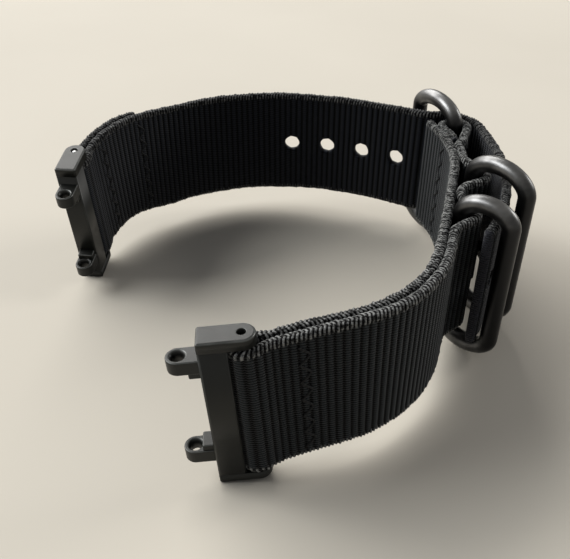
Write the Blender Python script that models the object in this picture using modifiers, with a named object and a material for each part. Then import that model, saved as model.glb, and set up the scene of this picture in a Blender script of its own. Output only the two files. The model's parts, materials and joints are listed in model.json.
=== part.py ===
"""Two-piece webbing watch strap, buckled in a loop and standing on its long edge.

Metres, +Z up along the width of the webbing. The wrist space is open along Z.
"""
import math

import bmesh
import bpy
import numpy as np
from mathutils import Matrix, Vector

# Webbing
WEBBING_WIDTH = 0.0240
WEBBING_THICKNESS = 0.0014
LAYER_GAP = 0.0003
PATH_STEP = 0.0012

# Rings, bent from round wire
WIRE_RADIUS = 0.0016
RING_BAR_SHORT = 0.0003
RING_END_RISE = 0.0038
KEEPER_END_RISE = 0.0030
FLAP_END_RISE = 0.0033
BUCKLE_RING_SPAN = 0.0122
FLAP_RING_SPAN = 0.0128
KEEPER_RING_SPAN = 0.0092
BAR_GAP = 0.0002
RING_END_STEPS = 12
WIRE_SIDES = 4

# Tongue of the buckle, cut from plate
TONGUE_WRAP = 0.0009
TONGUE_EYE_GAP = 0.00015
TONGUE_HEIGHT = 0.0021
TONGUE_RING_GAP = 0.0003
TONGUE_OVERHANG = 0.0012
TONGUE_TIP_RADIUS = 0.0005
TONGUE_EYE_STEPS = 16
TONGUE_TIP_STEPS = 6
TONGUE_SLOT_LENGTH = 0.0098
TONGUE_SLOT_HEIGHT = 0.0040

# End pieces that hook into the watch case
EAR_THICKNESS = 0.0017
EAR_STEP = 0.00015
SPINE_DEPTH = 0.0042
SPINE_SIDE = 0.0040
SPINE_BEVEL = 0.00035
BAR_SETBACK = 0.0062
EAR_RADIUS = 0.0018
EAR_GAP = 0.0003
EAR_HOLE_RADIUS = 0.00065
EAR_STEPS = 10
SCOOP_GAP = 0.0003
SCOOP_SIDES = 24
BEVEL_SEGMENTS = 2
PRONG_INSET = 0.0051
PRONG_RISE = 0.0006
PRONG_STEP = 0.0001
PRONG_HOLE_REACH = 0.0029
PRONG_EYE_RADIUS = 0.0017
PRONG_EYE_HEIGHT = 0.0023
PRONG_ARM_HEIGHT = 0.0032
PRONG_ARM_REACH = 0.0017
PRONG_HOLE_RADIUS = 0.0009
PRONG_SINK_RADIUS = 0.0013
PRONG_SINK_DEPTH = 0.0004
PRONG_BURY = 0.0010
PRONG_BEVEL = 0.0002
PRONG_STEPS = 10

# Spring bars
TUBE_RADIUS = 0.00075
TUBE_BORE_RADIUS = 0.0005
TUBE_END_RUN = 0.0023
TUBE_LOOP_GAP = 0.0002
TIP_RADIUS = 0.0005
TIP_ROUND = 0.00015
TIP_BITE = 0.0010
STEM_RADIUS = 0.00035
STEM_RUN = 0.0026
COLLAR_RADIUS = 0.0009
COLLAR_THICKNESS = 0.0004
COLLAR_EAR_GAP = 0.0003
SPRING_WIRE_RADIUS = 0.00009
SPRING_RADIUS = 0.00033
SPRING_END_GAP = 0.0002
SPRING_TURNS = 7
SPRING_TURN_STEPS = 7
SPRING_SIDES = 2
BAR_SIDES = 12

# Headings of the two spring bars, and how the end pieces lean on them
BAR_A_HEADING = 81.4
BAR_B_HEADING = 17.3
ADAPTER_A_TURN = 2.6
ADAPTER_B_TURN = -13.8
ADAPTER_A_LEAN = 9.0
ADAPTER_B_LEAN = 4.2
LEAN_HELD_RUN = 0.0060
LEAN_FADE_RUN = 0.0220

# Long piece: lengths and turns of the arcs its inner layer follows
LONG_LEAD_RUN = 0.0105
LONG_LEAD_TURN = -16.0
LONG_SHOULDER_RUN = 0.0190
LONG_SHOULDER_TURN = -31.4
LONG_BACK_RUN = 0.0241
LONG_BACK_TURN = -35.2
LONG_DROP_RUN = 0.0192
LONG_DROP_TURN = -21.1
LONG_ENTRY_RUN = 0.0131
LONG_ENTRY_TURN = -7.4
LONG_LIFT_RUN = 0.0043
LONG_LIFT_TURN = 39.1
LONG_CREST_RUN = 0.0066
LONG_CREST_TURN = -58.7
LONG_CORNER_RUN = 0.0050
LONG_CORNER_TURN = -31.3
LONG_BULGE_RUN = 0.0189
LONG_BULGE_TURN = -15.4
LONG_TAIL_RUN = 0.0248
LONG_TAIL_TURN = -26.5
LONG_FOLD_RUN = 0.0200

# Short piece: the liner's arcs
LINER_LEAD_RUN = 0.0131
LINER_LEAD_TURN = 2.9
LINER_FRONT_RUN = 0.0265
LINER_FRONT_TURN = 53.0
LINER_STRAIGHT_RUN = 0.0290
LINER_STRAIGHT_TURN = 3.5
LINER_SIDE_RUN = 0.0157
LINER_SIDE_TURN = 27.9
LINER_FLAP_RUN = 0.0052
LINER_FLAP_TURN = 4.3

# Where the liner's end lies from the point where the long piece meets the flap ring
LINER_END_X = 0.00176
LINER_END_Y = -0.00503

# Places of the rings, counted back from the liner's end, and the rest angle of each
FLAP_SETBACK = 0.0032
FLAP_TO_BUCKLE = 0.0200
BUCKLE_TO_KEEPER = 0.0146
KEEPER_LEAN = -27.0
BUCKLE_LEAN = -39.0
FLAP_LEAN = 99.0
BUMP_HALF = 0.0066
FOLD_BACK_RUN = 0.0058
FOLD_RISE_RUN = 0.0020
LOOP_BLEND_RUN = 0.0045
FOLD_TURN_STEPS = 8

# Punched holes
HOLE_RADIUS = 0.0017
HOLE_PITCH = 0.0084
HOLES_BEYOND = 1
HOLES_BEFORE = 9
HOLE_SIDES = 16
CUT_MARGIN = 0.0020

# Stitching
THREAD_RADIUS = 0.0002
THREAD_MARGIN = 0.0020
THREAD_SWING = 0.0009
THREAD_STEPS = 12
THREAD_GAP = 0.0001
THREAD_SIDES = 2
ROW_A_NEAR = 0.0075
ROW_A_FAR = 0.0195
ROW_B_NEAR = 0.0080
ROW_KEEPER_SETBACK = 0.0068
ROW_FLAP_SETBACK = 0.0060

WELD = 0.000002

# Colours
LONG_WEBBING_TINT = (0.016, 0.017, 0.021)
SHORT_WEBBING_TINT = (0.018, 0.019, 0.023)
THREAD_TINT = (0.021, 0.021, 0.025)
BUCKLE_RING_TINT = (0.021, 0.021, 0.023)
KEEPER_RING_TINT = (0.023, 0.023, 0.025)
FLAP_RING_TINT = (0.025, 0.025, 0.027)
TONGUE_TINT = (0.030, 0.030, 0.033)
ADAPTER_TINT = (0.022, 0.023, 0.025)
TIP_TINT = (0.46, 0.46, 0.47)
TUBE_TINT = (0.42, 0.42, 0.43)
SPRING_TINT = (0.50, 0.50, 0.50)

EAR_FACE = WEBBING_WIDTH / 2 + EAR_GAP
SPINE_HEIGHT = 2 * (EAR_FACE + EAR_THICKNESS)
PRONG_PITCH = SPINE_HEIGHT - 2 * PRONG_INSET
TUBE_HALF = EAR_FACE - TUBE_END_RUN
LINER_RUN = (LINER_LEAD_RUN + LINER_FRONT_RUN + LINER_STRAIGHT_RUN + LINER_SIDE_RUN
             + LINER_FLAP_RUN)
FLAP_STATION = LINER_RUN - FLAP_SETBACK
BUCKLE_STATION = FLAP_STATION - FLAP_TO_BUCKLE
KEEPER_STATION = BUCKLE_STATION - BUCKLE_TO_KEEPER
STEM_INNER_END = TUBE_HALF - STEM_RUN
THREAD_ROW = WEBBING_WIDTH - 2 * THREAD_MARGIN
RING_BAR_HALF = WEBBING_WIDTH / 2 - RING_BAR_SHORT
MID_Z = RING_BAR_HALF + RING_END_RISE + WIRE_RADIUS
LAYER_PITCH = WEBBING_THICKNESS + LAYER_GAP
LOOP_RADIUS = TUBE_RADIUS + TUBE_LOOP_GAP + WEBBING_THICKNESS / 2
WIRE_TO_LAYER = WIRE_RADIUS + BAR_GAP + WEBBING_THICKNESS / 2

KEEPER_BAR_RISE = WIRE_TO_LAYER
BUCKLE_BAR_RISE = (WEBBING_THICKNESS / 2 + BAR_GAP + TONGUE_WRAP
                   + TONGUE_EYE_GAP + WIRE_RADIUS)
FLAP_BAR_RISE = LAYER_PITCH + WIRE_TO_LAYER

PARTS = {}


def clear_scene():
    """Remove every object, mesh and curve of the start-up scene."""
    for found in list(bpy.data.objects):
        bpy.data.objects.remove(found, do_unlink=True)
    for store in (bpy.data.meshes, bpy.data.curves, bpy.data.materials):
        for found in list(store):
            store.remove(found)


def make_material(name, colour, roughness, metallic):
    """Plain surface with one colour."""
    material = bpy.data.materials.new(name)
    material.use_nodes = True
    shader = material.node_tree.nodes["Principled BSDF"]
    shader.inputs["Base Color"].default_value = (*colour, 1.0)
    shader.inputs["Roughness"].default_value = roughness
    shader.inputs["Metallic"].default_value = metallic
    return material


def make_collection(name, hidden):
    """Collection for the object itself or for its cutters."""
    made = bpy.data.collections.new(name)
    bpy.context.scene.collection.children.link(made)
    made.hide_render = hidden
    return made


def add_object(name, mesh, material, collection, smooth=False):
    """Object in its collection, with its own material."""
    made = bpy.data.objects.new(name, mesh)
    collection.objects.link(made)
    if material is not None:
        mesh.materials.clear()
        mesh.materials.append(material)
    if smooth:
        mesh.polygons.foreach_set("use_smooth", [True] * len(mesh.polygons))
    return made


def finish_mesh(mesh):
    """Weld doubled points and face every side outwards."""
    work = bmesh.new()
    work.from_mesh(mesh)
    bmesh.ops.remove_doubles(work, verts=work.verts, dist=WELD)
    bmesh.ops.recalc_face_normals(work, faces=work.faces)
    work.to_mesh(mesh)
    work.free()
    return mesh


def settle(target):
    """Replace an object's modifiers by the mesh they give."""
    graph = bpy.context.evaluated_depsgraph_get()
    mesh = bpy.data.meshes.new_from_object(target.evaluated_get(graph), depsgraph=graph)
    target.modifiers.clear()
    old = target.data
    target.data = finish_mesh(mesh)
    mesh.name = target.name
    bpy.data.meshes.remove(old)
    return target


def evaluated_mesh(holder):
    """Welded mesh of a helper object, which is removed."""
    graph = bpy.context.evaluated_depsgraph_get()
    mesh = bpy.data.meshes.new_from_object(holder.evaluated_get(graph), depsgraph=graph)
    bpy.data.objects.remove(holder, do_unlink=True)
    return finish_mesh(mesh)


def curve_mesh(curve):
    """Mesh of a curve, welded."""
    holder = bpy.data.objects.new("outline", curve)
    bpy.context.scene.collection.objects.link(holder)
    mesh = evaluated_mesh(holder)
    bpy.data.curves.remove(curve)
    return mesh


def flat_mesh(outlines, height):
    """Closed flat outlines filled and given their height, centred on Z = 0."""
    curve = bpy.data.curves.new("outline", "CURVE")
    curve.dimensions = "2D"
    curve.fill_mode = "BOTH"
    curve.extrude = height / 2
    for points in outlines:
        spline = curve.splines.new("POLY")
        spline.points.add(len(points) - 1)
        spline.use_cyclic_u = True
        for slot, (x, y) in zip(spline.points, points):
            slot.co = (x, y, 0, 1)
    return curve_mesh(curve)


def wire_mesh(points, radius, sides, closed):
    """Round wire along points."""
    curve = bpy.data.curves.new("wire", "CURVE")
    curve.dimensions = "3D"
    curve.bevel_depth = radius
    curve.bevel_resolution = sides - 1
    curve.use_fill_caps = not closed
    curve.twist_mode = "MINIMUM"
    spline = curve.splines.new("POLY")
    spline.points.add(len(points) - 1)
    spline.use_cyclic_u = closed
    for slot, point in zip(spline.points, points):
        slot.co = (*point, 1)
    return curve_mesh(curve)


def turned_mesh(profile, sides):
    """Shape turned about Z from (radius, z) pairs, read top to bottom down its outer side."""
    mesh = bpy.data.meshes.new("profile")
    ring = profile[0] == profile[-1]
    points = profile[:-1] if ring else profile
    count = len(points)
    edges = [(k, (k + 1) % count) for k in range(count if ring else count - 1)]
    mesh.from_pydata([(radius, 0, z) for radius, z in points], edges, [])
    holder = bpy.data.objects.new("profile", mesh)
    bpy.context.scene.collection.objects.link(holder)
    screw = holder.modifiers.new("turn", "SCREW")
    screw.steps = sides
    screw.render_steps = sides
    screw.use_merge_vertices = True
    screw.merge_threshold = WELD
    turned = evaluated_mesh(holder)
    bpy.data.meshes.remove(mesh)
    return turned


def chain(start, heading, runs):
    """Points, headings and stations along a chain of arcs."""
    place = np.array(start, dtype=float)
    angle = math.radians(heading)
    points = [place.copy()]
    headings = [angle]
    stations = [0.0]
    for run, turn in runs:
        count = max(2, math.ceil(run / PATH_STEP))
        part = run / count
        bend = math.radians(turn) / count
        for _ in range(count):
            middle = angle + bend / 2
            reach = part * np.sinc(bend / 2 / math.pi)
            place = place + reach * np.array((math.cos(middle), math.sin(middle)))
            angle += bend
            points.append(place.copy())
            headings.append(angle)
            stations.append(stations[-1] + part)
    return np.array(points), np.array(headings), np.array(stations)


def ease(value):
    """Smooth step from 0 to 1."""
    held = np.clip(value, 0.0, 1.0)
    return held * held * (3 - 2 * held)


def hump(stations, centre, half):
    """Raised cosine, 1 at its centre and 0 beyond its half width."""
    away = np.clip(np.abs(stations - centre) / half, 0.0, 1.0)
    return (1 + np.cos(math.pi * away)) / 2


def sideways(headings, side):
    """Unit vectors across the path; side is +1 to the left and -1 to the right."""
    return side * np.stack([-np.sin(headings), np.cos(headings)], axis=1)


def path_normals(points):
    """Unit vectors to the left of a polyline."""
    ahead = np.gradient(points, axis=0)
    ahead /= np.linalg.norm(ahead, axis=1)[:, None]
    return np.stack([-ahead[:, 1], ahead[:, 0]], axis=1)


def strip_outline(points):
    """Outline of a strip of webbing along the middle of its thickness."""
    left = path_normals(points)
    upper = points + left * (WEBBING_THICKNESS / 2)
    lower = points - left * (WEBBING_THICKNESS / 2)
    return np.concatenate([upper, lower[::-1]])


def turn_about(centre, first, sweep, steps):
    """Points on a circle from a first point, without its two ends."""
    arm = first - centre
    made = []
    for k in range(1, steps):
        angle = sweep * k / steps
        cos_a, sin_a = math.cos(angle), math.sin(angle)
        made.append(centre + np.array((cos_a * arm[0] - sin_a * arm[1],
                                       sin_a * arm[0] + cos_a * arm[1])))
    return np.array(made)


class Run:
    """A layer's path from its spring bar, with one of its arcs ending at an anchor point."""

    def __init__(self, heading, runs, outer_side, anchor, anchor_arcs):
        self.side = outer_side
        left = np.array((-math.sin(math.radians(heading)), math.cos(math.radians(heading))))
        first = -outer_side * left * LAYER_PITCH / 2
        self.points, self.headings, self.stations = chain(first, heading, runs)
        reach = sum(run for run, _ in runs[:anchor_arcs])
        self.centre = np.array(anchor) - [np.interp(reach, self.stations, self.points[:, k])
                                          for k in range(2)]
        self.points += self.centre
        self.outward = sideways(self.headings, outer_side)
        self.spread = (LOOP_RADIUS - LAYER_PITCH / 2) * (1 - ease(self.stations / LOOP_BLEND_RUN))

    def at(self, station, rise=0.0):
        """Point and heading at a station, raised towards the outside."""
        x = np.interp(station, self.stations, self.points[:, 0])
        y = np.interp(station, self.stations, self.points[:, 1])
        heading = np.interp(station, self.stations, self.headings)
        across = sideways(np.array([heading]), self.side)[0]
        return np.array((x, y)) + across * rise, heading, across

    def inner(self):
        """Middle line of the layer next to the wrist."""
        return self.points - self.outward * self.spread[:, None]

    def outer(self, rise, last):
        """Middle line of the layer away from the wrist, up to a last station."""
        keep = self.stations <= last
        lift = (rise + self.spread)[keep]
        return self.points[keep] + self.outward[keep] * lift[:, None]


def long_run():
    """Inner layer of the long piece, from its spring bar to its free end."""
    runs = ((LONG_LEAD_RUN, LONG_LEAD_TURN),
            (LONG_SHOULDER_RUN, LONG_SHOULDER_TURN),
            (LONG_BACK_RUN, LONG_BACK_TURN),
            (LONG_DROP_RUN, LONG_DROP_TURN),
            (LONG_ENTRY_RUN, LONG_ENTRY_TURN),
            (LONG_LIFT_RUN, LONG_LIFT_TURN),
            (LONG_CREST_RUN, LONG_CREST_TURN),
            (LONG_CORNER_RUN, LONG_CORNER_TURN),
            (LONG_BULGE_RUN, LONG_BULGE_TURN),
            (LONG_TAIL_RUN, LONG_TAIL_TURN))
    arcs_to_entry = 5
    return Run(BAR_A_HEADING, runs, 1, (0, 0), arcs_to_entry)


def liner_run():
    """Inner layer of the short piece, from its spring bar to the flap's end."""
    runs = ((LINER_LEAD_RUN, LINER_LEAD_TURN),
            (LINER_FRONT_RUN, LINER_FRONT_TURN),
            (LINER_STRAIGHT_RUN, LINER_STRAIGHT_TURN),
            (LINER_SIDE_RUN, LINER_SIDE_TURN),
            (LINER_FLAP_RUN, LINER_FLAP_TURN))
    return Run(BAR_B_HEADING, runs, -1, (LINER_END_X, LINER_END_Y), len(runs))


def outer_rise(stations):
    """Height of the short piece's outer layer over the liner's middle."""
    keeper = (KEEPER_BAR_RISE + WIRE_TO_LAYER - LAYER_PITCH) * hump(stations, KEEPER_STATION,
                                                                     BUMP_HALF)
    buckle = (BUCKLE_BAR_RISE + WIRE_TO_LAYER - LAYER_PITCH) * hump(stations, BUCKLE_STATION,
                                                                     BUMP_HALF)
    fold_start = FLAP_STATION - FOLD_BACK_RUN - LAYER_GAP
    doubled = LAYER_PITCH * ease((stations - fold_start + FOLD_RISE_RUN) / FOLD_RISE_RUN)
    top = FLAP_BAR_RISE + WIRE_TO_LAYER - 2 * LAYER_PITCH
    last = top * hump(np.minimum(stations, FLAP_STATION), FLAP_STATION, BUMP_HALF)
    return LAYER_PITCH + keeper + buckle + doubled + last


class Stand:
    """How one spring bar stands: its plan point, the heading into the strap and its lean."""

    def __init__(self, x, y, heading, lean):
        self.point = (x, y)
        self.heading = math.radians(heading)
        self.lean = math.radians(lean)

    def place(self, target):
        """Put an object on the bar's axis, leaning with it."""
        target.location = (*self.point, MID_Z)
        target.rotation_euler = (0, -self.lean, self.heading)

    def lean_mesh(self, mesh):
        """Let webbing or thread near the bar lean with it, fading out along the strap."""
        spot = np.empty(len(mesh.vertices) * 3)
        mesh.vertices.foreach_get("co", spot)
        spot = spot.reshape(-1, 3)
        middle = np.array((*self.point, 0))
        turn = np.array(Matrix.Rotation(self.heading, 3, "Z") @ Matrix.Rotation(-self.lean, 3, "Y")
                        @ Matrix.Rotation(-self.heading, 3, "Z"))
        away = spot - middle
        reach = np.hypot(away[:, 0], away[:, 1])
        share = 1 - ease((reach - LEAN_HELD_RUN) / LEAN_FADE_RUN)
        spot += share[:, None] * (away @ turn.T - away)
        mesh.vertices.foreach_set("co", spot.ravel())


def tail_station(run, bar, direction):
    """Station where a line from the bar crosses the free end of a run."""
    offset = run.points - bar
    across = offset[:, 0] * -direction[1] + offset[:, 1] * direction[0]
    along = offset @ direction
    for k in range(len(across) - 1, 0, -1):
        if across[k] * across[k - 1] <= 0 and along[k] > 0:
            share = across[k] / (across[k] - across[k - 1])
            return run.stations[k] + share * (run.stations[k - 1] - run.stations[k])
    return run.stations[-1]


def make_cutter(name, mesh, place, cutters):
    """Hidden tool object at a place."""
    tool = add_object(name, mesh, None, cutters)
    tool.matrix_world = place
    tool.display_type = "WIRE"
    tool.hide_render = True
    return tool


def cut(target, tool, operation="DIFFERENCE"):
    """Boolean with one tool."""
    step = target.modifiers.new(tool.name, "BOOLEAN")
    step.operation = operation
    step.solver = "EXACT"
    step.object = tool
    return step


def drop(tools):
    """Remove used cutters."""
    for tool in tools:
        mesh = tool.data
        bpy.data.objects.remove(tool, do_unlink=True)
        bpy.data.meshes.remove(mesh)


def across_place(point, heading, height):
    """Frame with +Z pointing across the path, at a plan point and a height."""
    across = Vector((-math.sin(heading), math.cos(heading), 0))
    ahead = Vector((math.cos(heading), math.sin(heading), 0))
    up = across.cross(ahead)
    frame = Matrix((ahead, up, across)).transposed().to_4x4()
    frame.translation = (point[0], point[1], height)
    return frame


def box_mesh(x, y, z):
    """Box centred on its own origin."""
    work = bmesh.new()
    bmesh.ops.create_cube(work, size=1.0, matrix=Matrix.Diagonal((x, y, z, 1)))
    mesh = bpy.data.meshes.new("box")
    work.to_mesh(mesh)
    work.free()
    return mesh


def cylinder_mesh(radius, height, sides):
    """Cylinder centred on its own origin."""
    work = bmesh.new()
    bmesh.ops.create_cone(work, cap_ends=True, segments=sides, radius1=radius,
                          radius2=radius, depth=height)
    mesh = bpy.data.meshes.new("cylinder")
    work.to_mesh(mesh)
    work.free()
    return mesh


def build_long(run, stand, parts, cutters, tongue_station):
    """Long piece of webbing, folded round its spring bar and punched."""
    inner = run.inner()
    outer = run.outer(np.full(len(run.stations), LAYER_PITCH), LONG_FOLD_RUN)
    loop = turn_about(run.centre, outer[0], math.pi, FOLD_TURN_STEPS)
    middle = np.concatenate([outer[::-1], loop, inner])
    material = make_material("long_webbing", LONG_WEBBING_TINT, 0.85, 0.0)
    strap = add_object("long_strap_webbing", flat_mesh([strip_outline(middle)], WEBBING_WIDTH),
                       material, parts)
    strap.location.z = MID_Z
    tools = []
    for k in range(-HOLES_BEYOND, HOLES_BEFORE + 1):
        point, heading, _ = run.at(tongue_station - k * HOLE_PITCH)
        place = across_place(point, heading, MID_Z)
        mesh = cylinder_mesh(HOLE_RADIUS, WEBBING_THICKNESS + CUT_MARGIN, HOLE_SIDES)
        tool = make_cutter("strap_hole_%d" % (k + HOLES_BEYOND), mesh, place, cutters)
        cut(strap, tool)
        tools.append(tool)
    settle(strap)
    drop(tools)
    stand.lean_mesh(strap.data)
    return strap


def build_short(run, stand, parts, cutters):
    """Short piece: liner, fold round its spring bar and the outer layer over the rings."""
    inner = run.inner()
    outer = run.outer(outer_rise(run.stations), FLAP_STATION)
    end_point, _, _ = run.at(FLAP_STATION, FLAP_BAR_RISE + WIRE_TO_LAYER)
    outer = np.concatenate([outer[:-1], [end_point]])
    bar, _, _ = run.at(FLAP_STATION, FLAP_BAR_RISE)
    wrap = turn_about(bar, end_point, math.pi, FOLD_TURN_STEPS)
    back_count = math.ceil(FOLD_BACK_RUN / PATH_STEP)
    back = []
    for k in range(back_count + 1):
        station = FLAP_STATION - FOLD_BACK_RUN * k / back_count
        back.append(run.at(station, LAYER_PITCH)[0])
    loop = turn_about(run.centre, inner[0], math.pi, FOLD_TURN_STEPS)
    middle = np.concatenate([inner[::-1], loop, outer, wrap, back])
    material = make_material("short_webbing", SHORT_WEBBING_TINT, 0.85, 0.0)
    strap = add_object("short_strap_webbing", flat_mesh([strip_outline(middle)], WEBBING_WIDTH),
                       material, parts)
    strap.location.z = MID_Z
    low = (WEBBING_THICKNESS + LAYER_GAP) / 2
    depth = BUCKLE_BAR_RISE + WIRE_TO_LAYER + WEBBING_THICKNESS - low
    point, heading, _ = run.at(BUCKLE_STATION, low + depth / 2)
    place = across_place(point, heading, MID_Z)
    slot = make_cutter("tongue_slot", box_mesh(TONGUE_SLOT_LENGTH, TONGUE_SLOT_HEIGHT, depth),
                       place, cutters)
    cut(strap, slot)
    settle(strap)
    drop([slot])
    stand.lean_mesh(strap.data)
    return strap


def ring_points(span, rise):
    """Closed middle line of a ring in its own XZ plane, inner bar on the Z axis."""
    half = span / 2
    points = []
    for sign in (1, -1):
        for k in range(RING_END_STEPS + 1):
            angle = math.pi * (1 - k / RING_END_STEPS)
            x = half + half * math.cos(angle) * sign
            z = sign * (RING_BAR_HALF + rise * math.sin(angle))
            points.append((x, 0, z))
    return points


def build_ring(name, span, rise, bar, heading, parts, tint):
    """Oval wire ring, hung on its inner bar."""
    material = make_material(name, tint, 0.32, 0.9)
    ring = add_object(name, wire_mesh(ring_points(span, rise), WIRE_RADIUS, WIRE_SIDES, True),
                      material, parts, smooth=True)
    ring.location = (bar[0], bar[1], MID_Z)
    ring.rotation_euler.z = heading
    return ring


def build_tongue(bar, heading, parts):
    """Tongue with an eye round the buckle's inner bar and a straight arm."""
    eye_in = WIRE_RADIUS + TONGUE_EYE_GAP
    eye_out = eye_in + TONGUE_WRAP
    arm_near = -(WIRE_RADIUS + TONGUE_RING_GAP)
    arm_far = arm_near - TONGUE_WRAP
    tip = BUCKLE_RING_SPAN + TONGUE_OVERHANG
    leave = math.asin(max(-1.0, arm_near / eye_out))
    outside = []
    for k in range(TONGUE_EYE_STEPS + 1):
        angle = leave + (3 * math.pi / 2 - leave) * k / TONGUE_EYE_STEPS
        outside.append((eye_out * math.cos(angle), eye_out * math.sin(angle)))
    low_start = outside[-1]
    lower = [(low_start[0] + TONGUE_WRAP, arm_far), (tip - TONGUE_TIP_RADIUS, arm_far)]
    round_end = []
    for k in range(1, TONGUE_TIP_STEPS):
        angle = -math.pi / 2 + math.pi * k / TONGUE_TIP_STEPS
        middle_y = (arm_near + arm_far) / 2
        round_end.append((tip - TONGUE_TIP_RADIUS + TONGUE_TIP_RADIUS * math.cos(angle),
                          middle_y + TONGUE_WRAP / 2 * math.sin(angle)))
    upper = [(tip - TONGUE_TIP_RADIUS, arm_near)]
    outline = outside + lower + round_end + upper
    hole = []
    for k in range(TONGUE_EYE_STEPS):
        angle = 2 * math.pi * k / TONGUE_EYE_STEPS
        hole.append((eye_in * math.cos(angle), eye_in * math.sin(angle)))
    material = make_material("buckle_tongue", TONGUE_TINT, 0.35, 0.9)
    tongue = add_object("buckle_tongue", flat_mesh([outline, hole], TONGUE_HEIGHT), material,
                        parts)
    tongue.location = (bar[0], bar[1], MID_Z)
    tongue.rotation_euler.z = heading
    return tongue


def build_adapter(name, stand, parts, cutters, skin_side):
    """End piece: spine, two ears that hold the spring bar and two prongs with eyes."""
    material = make_material(name, ADAPTER_TINT, 0.45, 0.75)
    front = -BAR_SETBACK
    rear = front + SPINE_DEPTH
    body_mesh = box_mesh(SPINE_DEPTH, SPINE_SIDE, SPINE_HEIGHT)
    body = add_object(name, body_mesh, material, parts)
    body_mesh.transform(Matrix.Translation(((front + rear) / 2, 0, 0)))
    slope = body.modifiers.new("edge", "BEVEL")
    slope.width = SPINE_BEVEL
    slope.segments = BEVEL_SEGMENTS
    slope.limit_method = "ANGLE"
    settle(body)
    tools = []
    ear_height = EAR_THICKNESS - EAR_STEP
    for sign in (1, -1):
        middle = sign * (EAR_FACE + ear_height / 2)
        ear_back = (front + rear) / 2
        outline = [(ear_back, -EAR_RADIUS)]
        for k in range(EAR_STEPS + 1):
            angle = math.pi * (k / EAR_STEPS - 1 / 2)
            outline.append((EAR_RADIUS * math.cos(angle), EAR_RADIUS * math.sin(angle)))
        outline.append((ear_back, EAR_RADIUS))
        ear = make_cutter("%s_ear" % name, flat_mesh([outline], ear_height),
                          Matrix.Translation((0, 0, middle)), cutters)
        cut(body, ear, "UNION")
        tools.append(ear)
        tools.extend(add_prong(body, name, sign, front, skin_side, cutters))
    settle(body)
    drop(tools)
    tools = []
    loop_outer = LOOP_RADIUS + WEBBING_THICKNESS / 2
    inside = 2 * EAR_FACE
    scoop = make_cutter("%s_scoop" % name, cylinder_mesh(loop_outer + SCOOP_GAP, inside, SCOOP_SIDES),
                        Matrix.Identity(4), cutters)
    bore = make_cutter("%s_bore" % name,
                       cylinder_mesh(EAR_HOLE_RADIUS, SPINE_HEIGHT + CUT_MARGIN, BAR_SIDES),
                       Matrix.Identity(4), cutters)
    tools.extend([scoop, bore])
    for sign in (1, -1):
        tools.append(prong_bore(name, sign, front, skin_side, cutters))
    for tool in tools:
        cut(body, tool)
    settle(body)
    drop(tools)
    stand.place(body)
    return body


def prong_side(skin_side):
    """Sideways place of the prongs, flush with the skin side of the spine."""
    return skin_side * (SPINE_SIDE / 2 - PRONG_EYE_RADIUS - PRONG_STEP)


def add_prong(body, name, sign, front, skin_side, cutters):
    """Arm and eye of one prong, joined to the spine."""
    side = prong_side(skin_side)
    height = PRONG_RISE + sign * PRONG_PITCH / 2
    reach = front - PRONG_HOLE_REACH
    outline = []
    for k in range(PRONG_STEPS + 1):
        angle = math.pi * (1 / 2 + k / PRONG_STEPS)
        outline.append((reach + PRONG_EYE_RADIUS * math.cos(angle),
                        side + PRONG_EYE_RADIUS * math.sin(angle)))
    outline.append((front + PRONG_BURY, side - PRONG_EYE_RADIUS))
    outline.append((front + PRONG_BURY, side + PRONG_EYE_RADIUS))
    eye = make_cutter("%s_eye" % name, flat_mesh([outline], PRONG_EYE_HEIGHT),
                      Matrix.Translation((0, 0, height)), cutters)
    length = PRONG_ARM_REACH + PRONG_BURY
    drop_by = sign * ((PRONG_ARM_HEIGHT - PRONG_EYE_HEIGHT) / 2 + PRONG_STEP)
    arm = make_cutter("%s_arm" % name,
                      box_mesh(length, 2 * (PRONG_EYE_RADIUS - PRONG_BEVEL), PRONG_ARM_HEIGHT),
                      Matrix.Translation((front + PRONG_BURY - length / 2, side,
                                          height - drop_by)), cutters)
    cut(body, eye, "UNION")
    cut(body, arm, "UNION")
    return [eye, arm]


def prong_bore(name, sign, front, skin_side, cutters):
    """Cutter for the screw hole in one eye, countersunk at both ends."""
    half = PRONG_EYE_HEIGHT / 2
    past = half + CUT_MARGIN
    grown = PRONG_SINK_RADIUS + (PRONG_SINK_RADIUS - PRONG_HOLE_RADIUS) * CUT_MARGIN / \
        PRONG_SINK_DEPTH
    profile = ((0, past), (grown, past), (PRONG_HOLE_RADIUS, half - PRONG_SINK_DEPTH),
               (PRONG_HOLE_RADIUS, PRONG_SINK_DEPTH - half), (grown, -past), (0, -past))
    place = Matrix.Translation((front - PRONG_HOLE_REACH, prong_side(skin_side),
                                PRONG_RISE + sign * PRONG_PITCH / 2))
    return make_cutter("%s_screw_hole" % name, turned_mesh(profile, BAR_SIDES), place, cutters)


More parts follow.
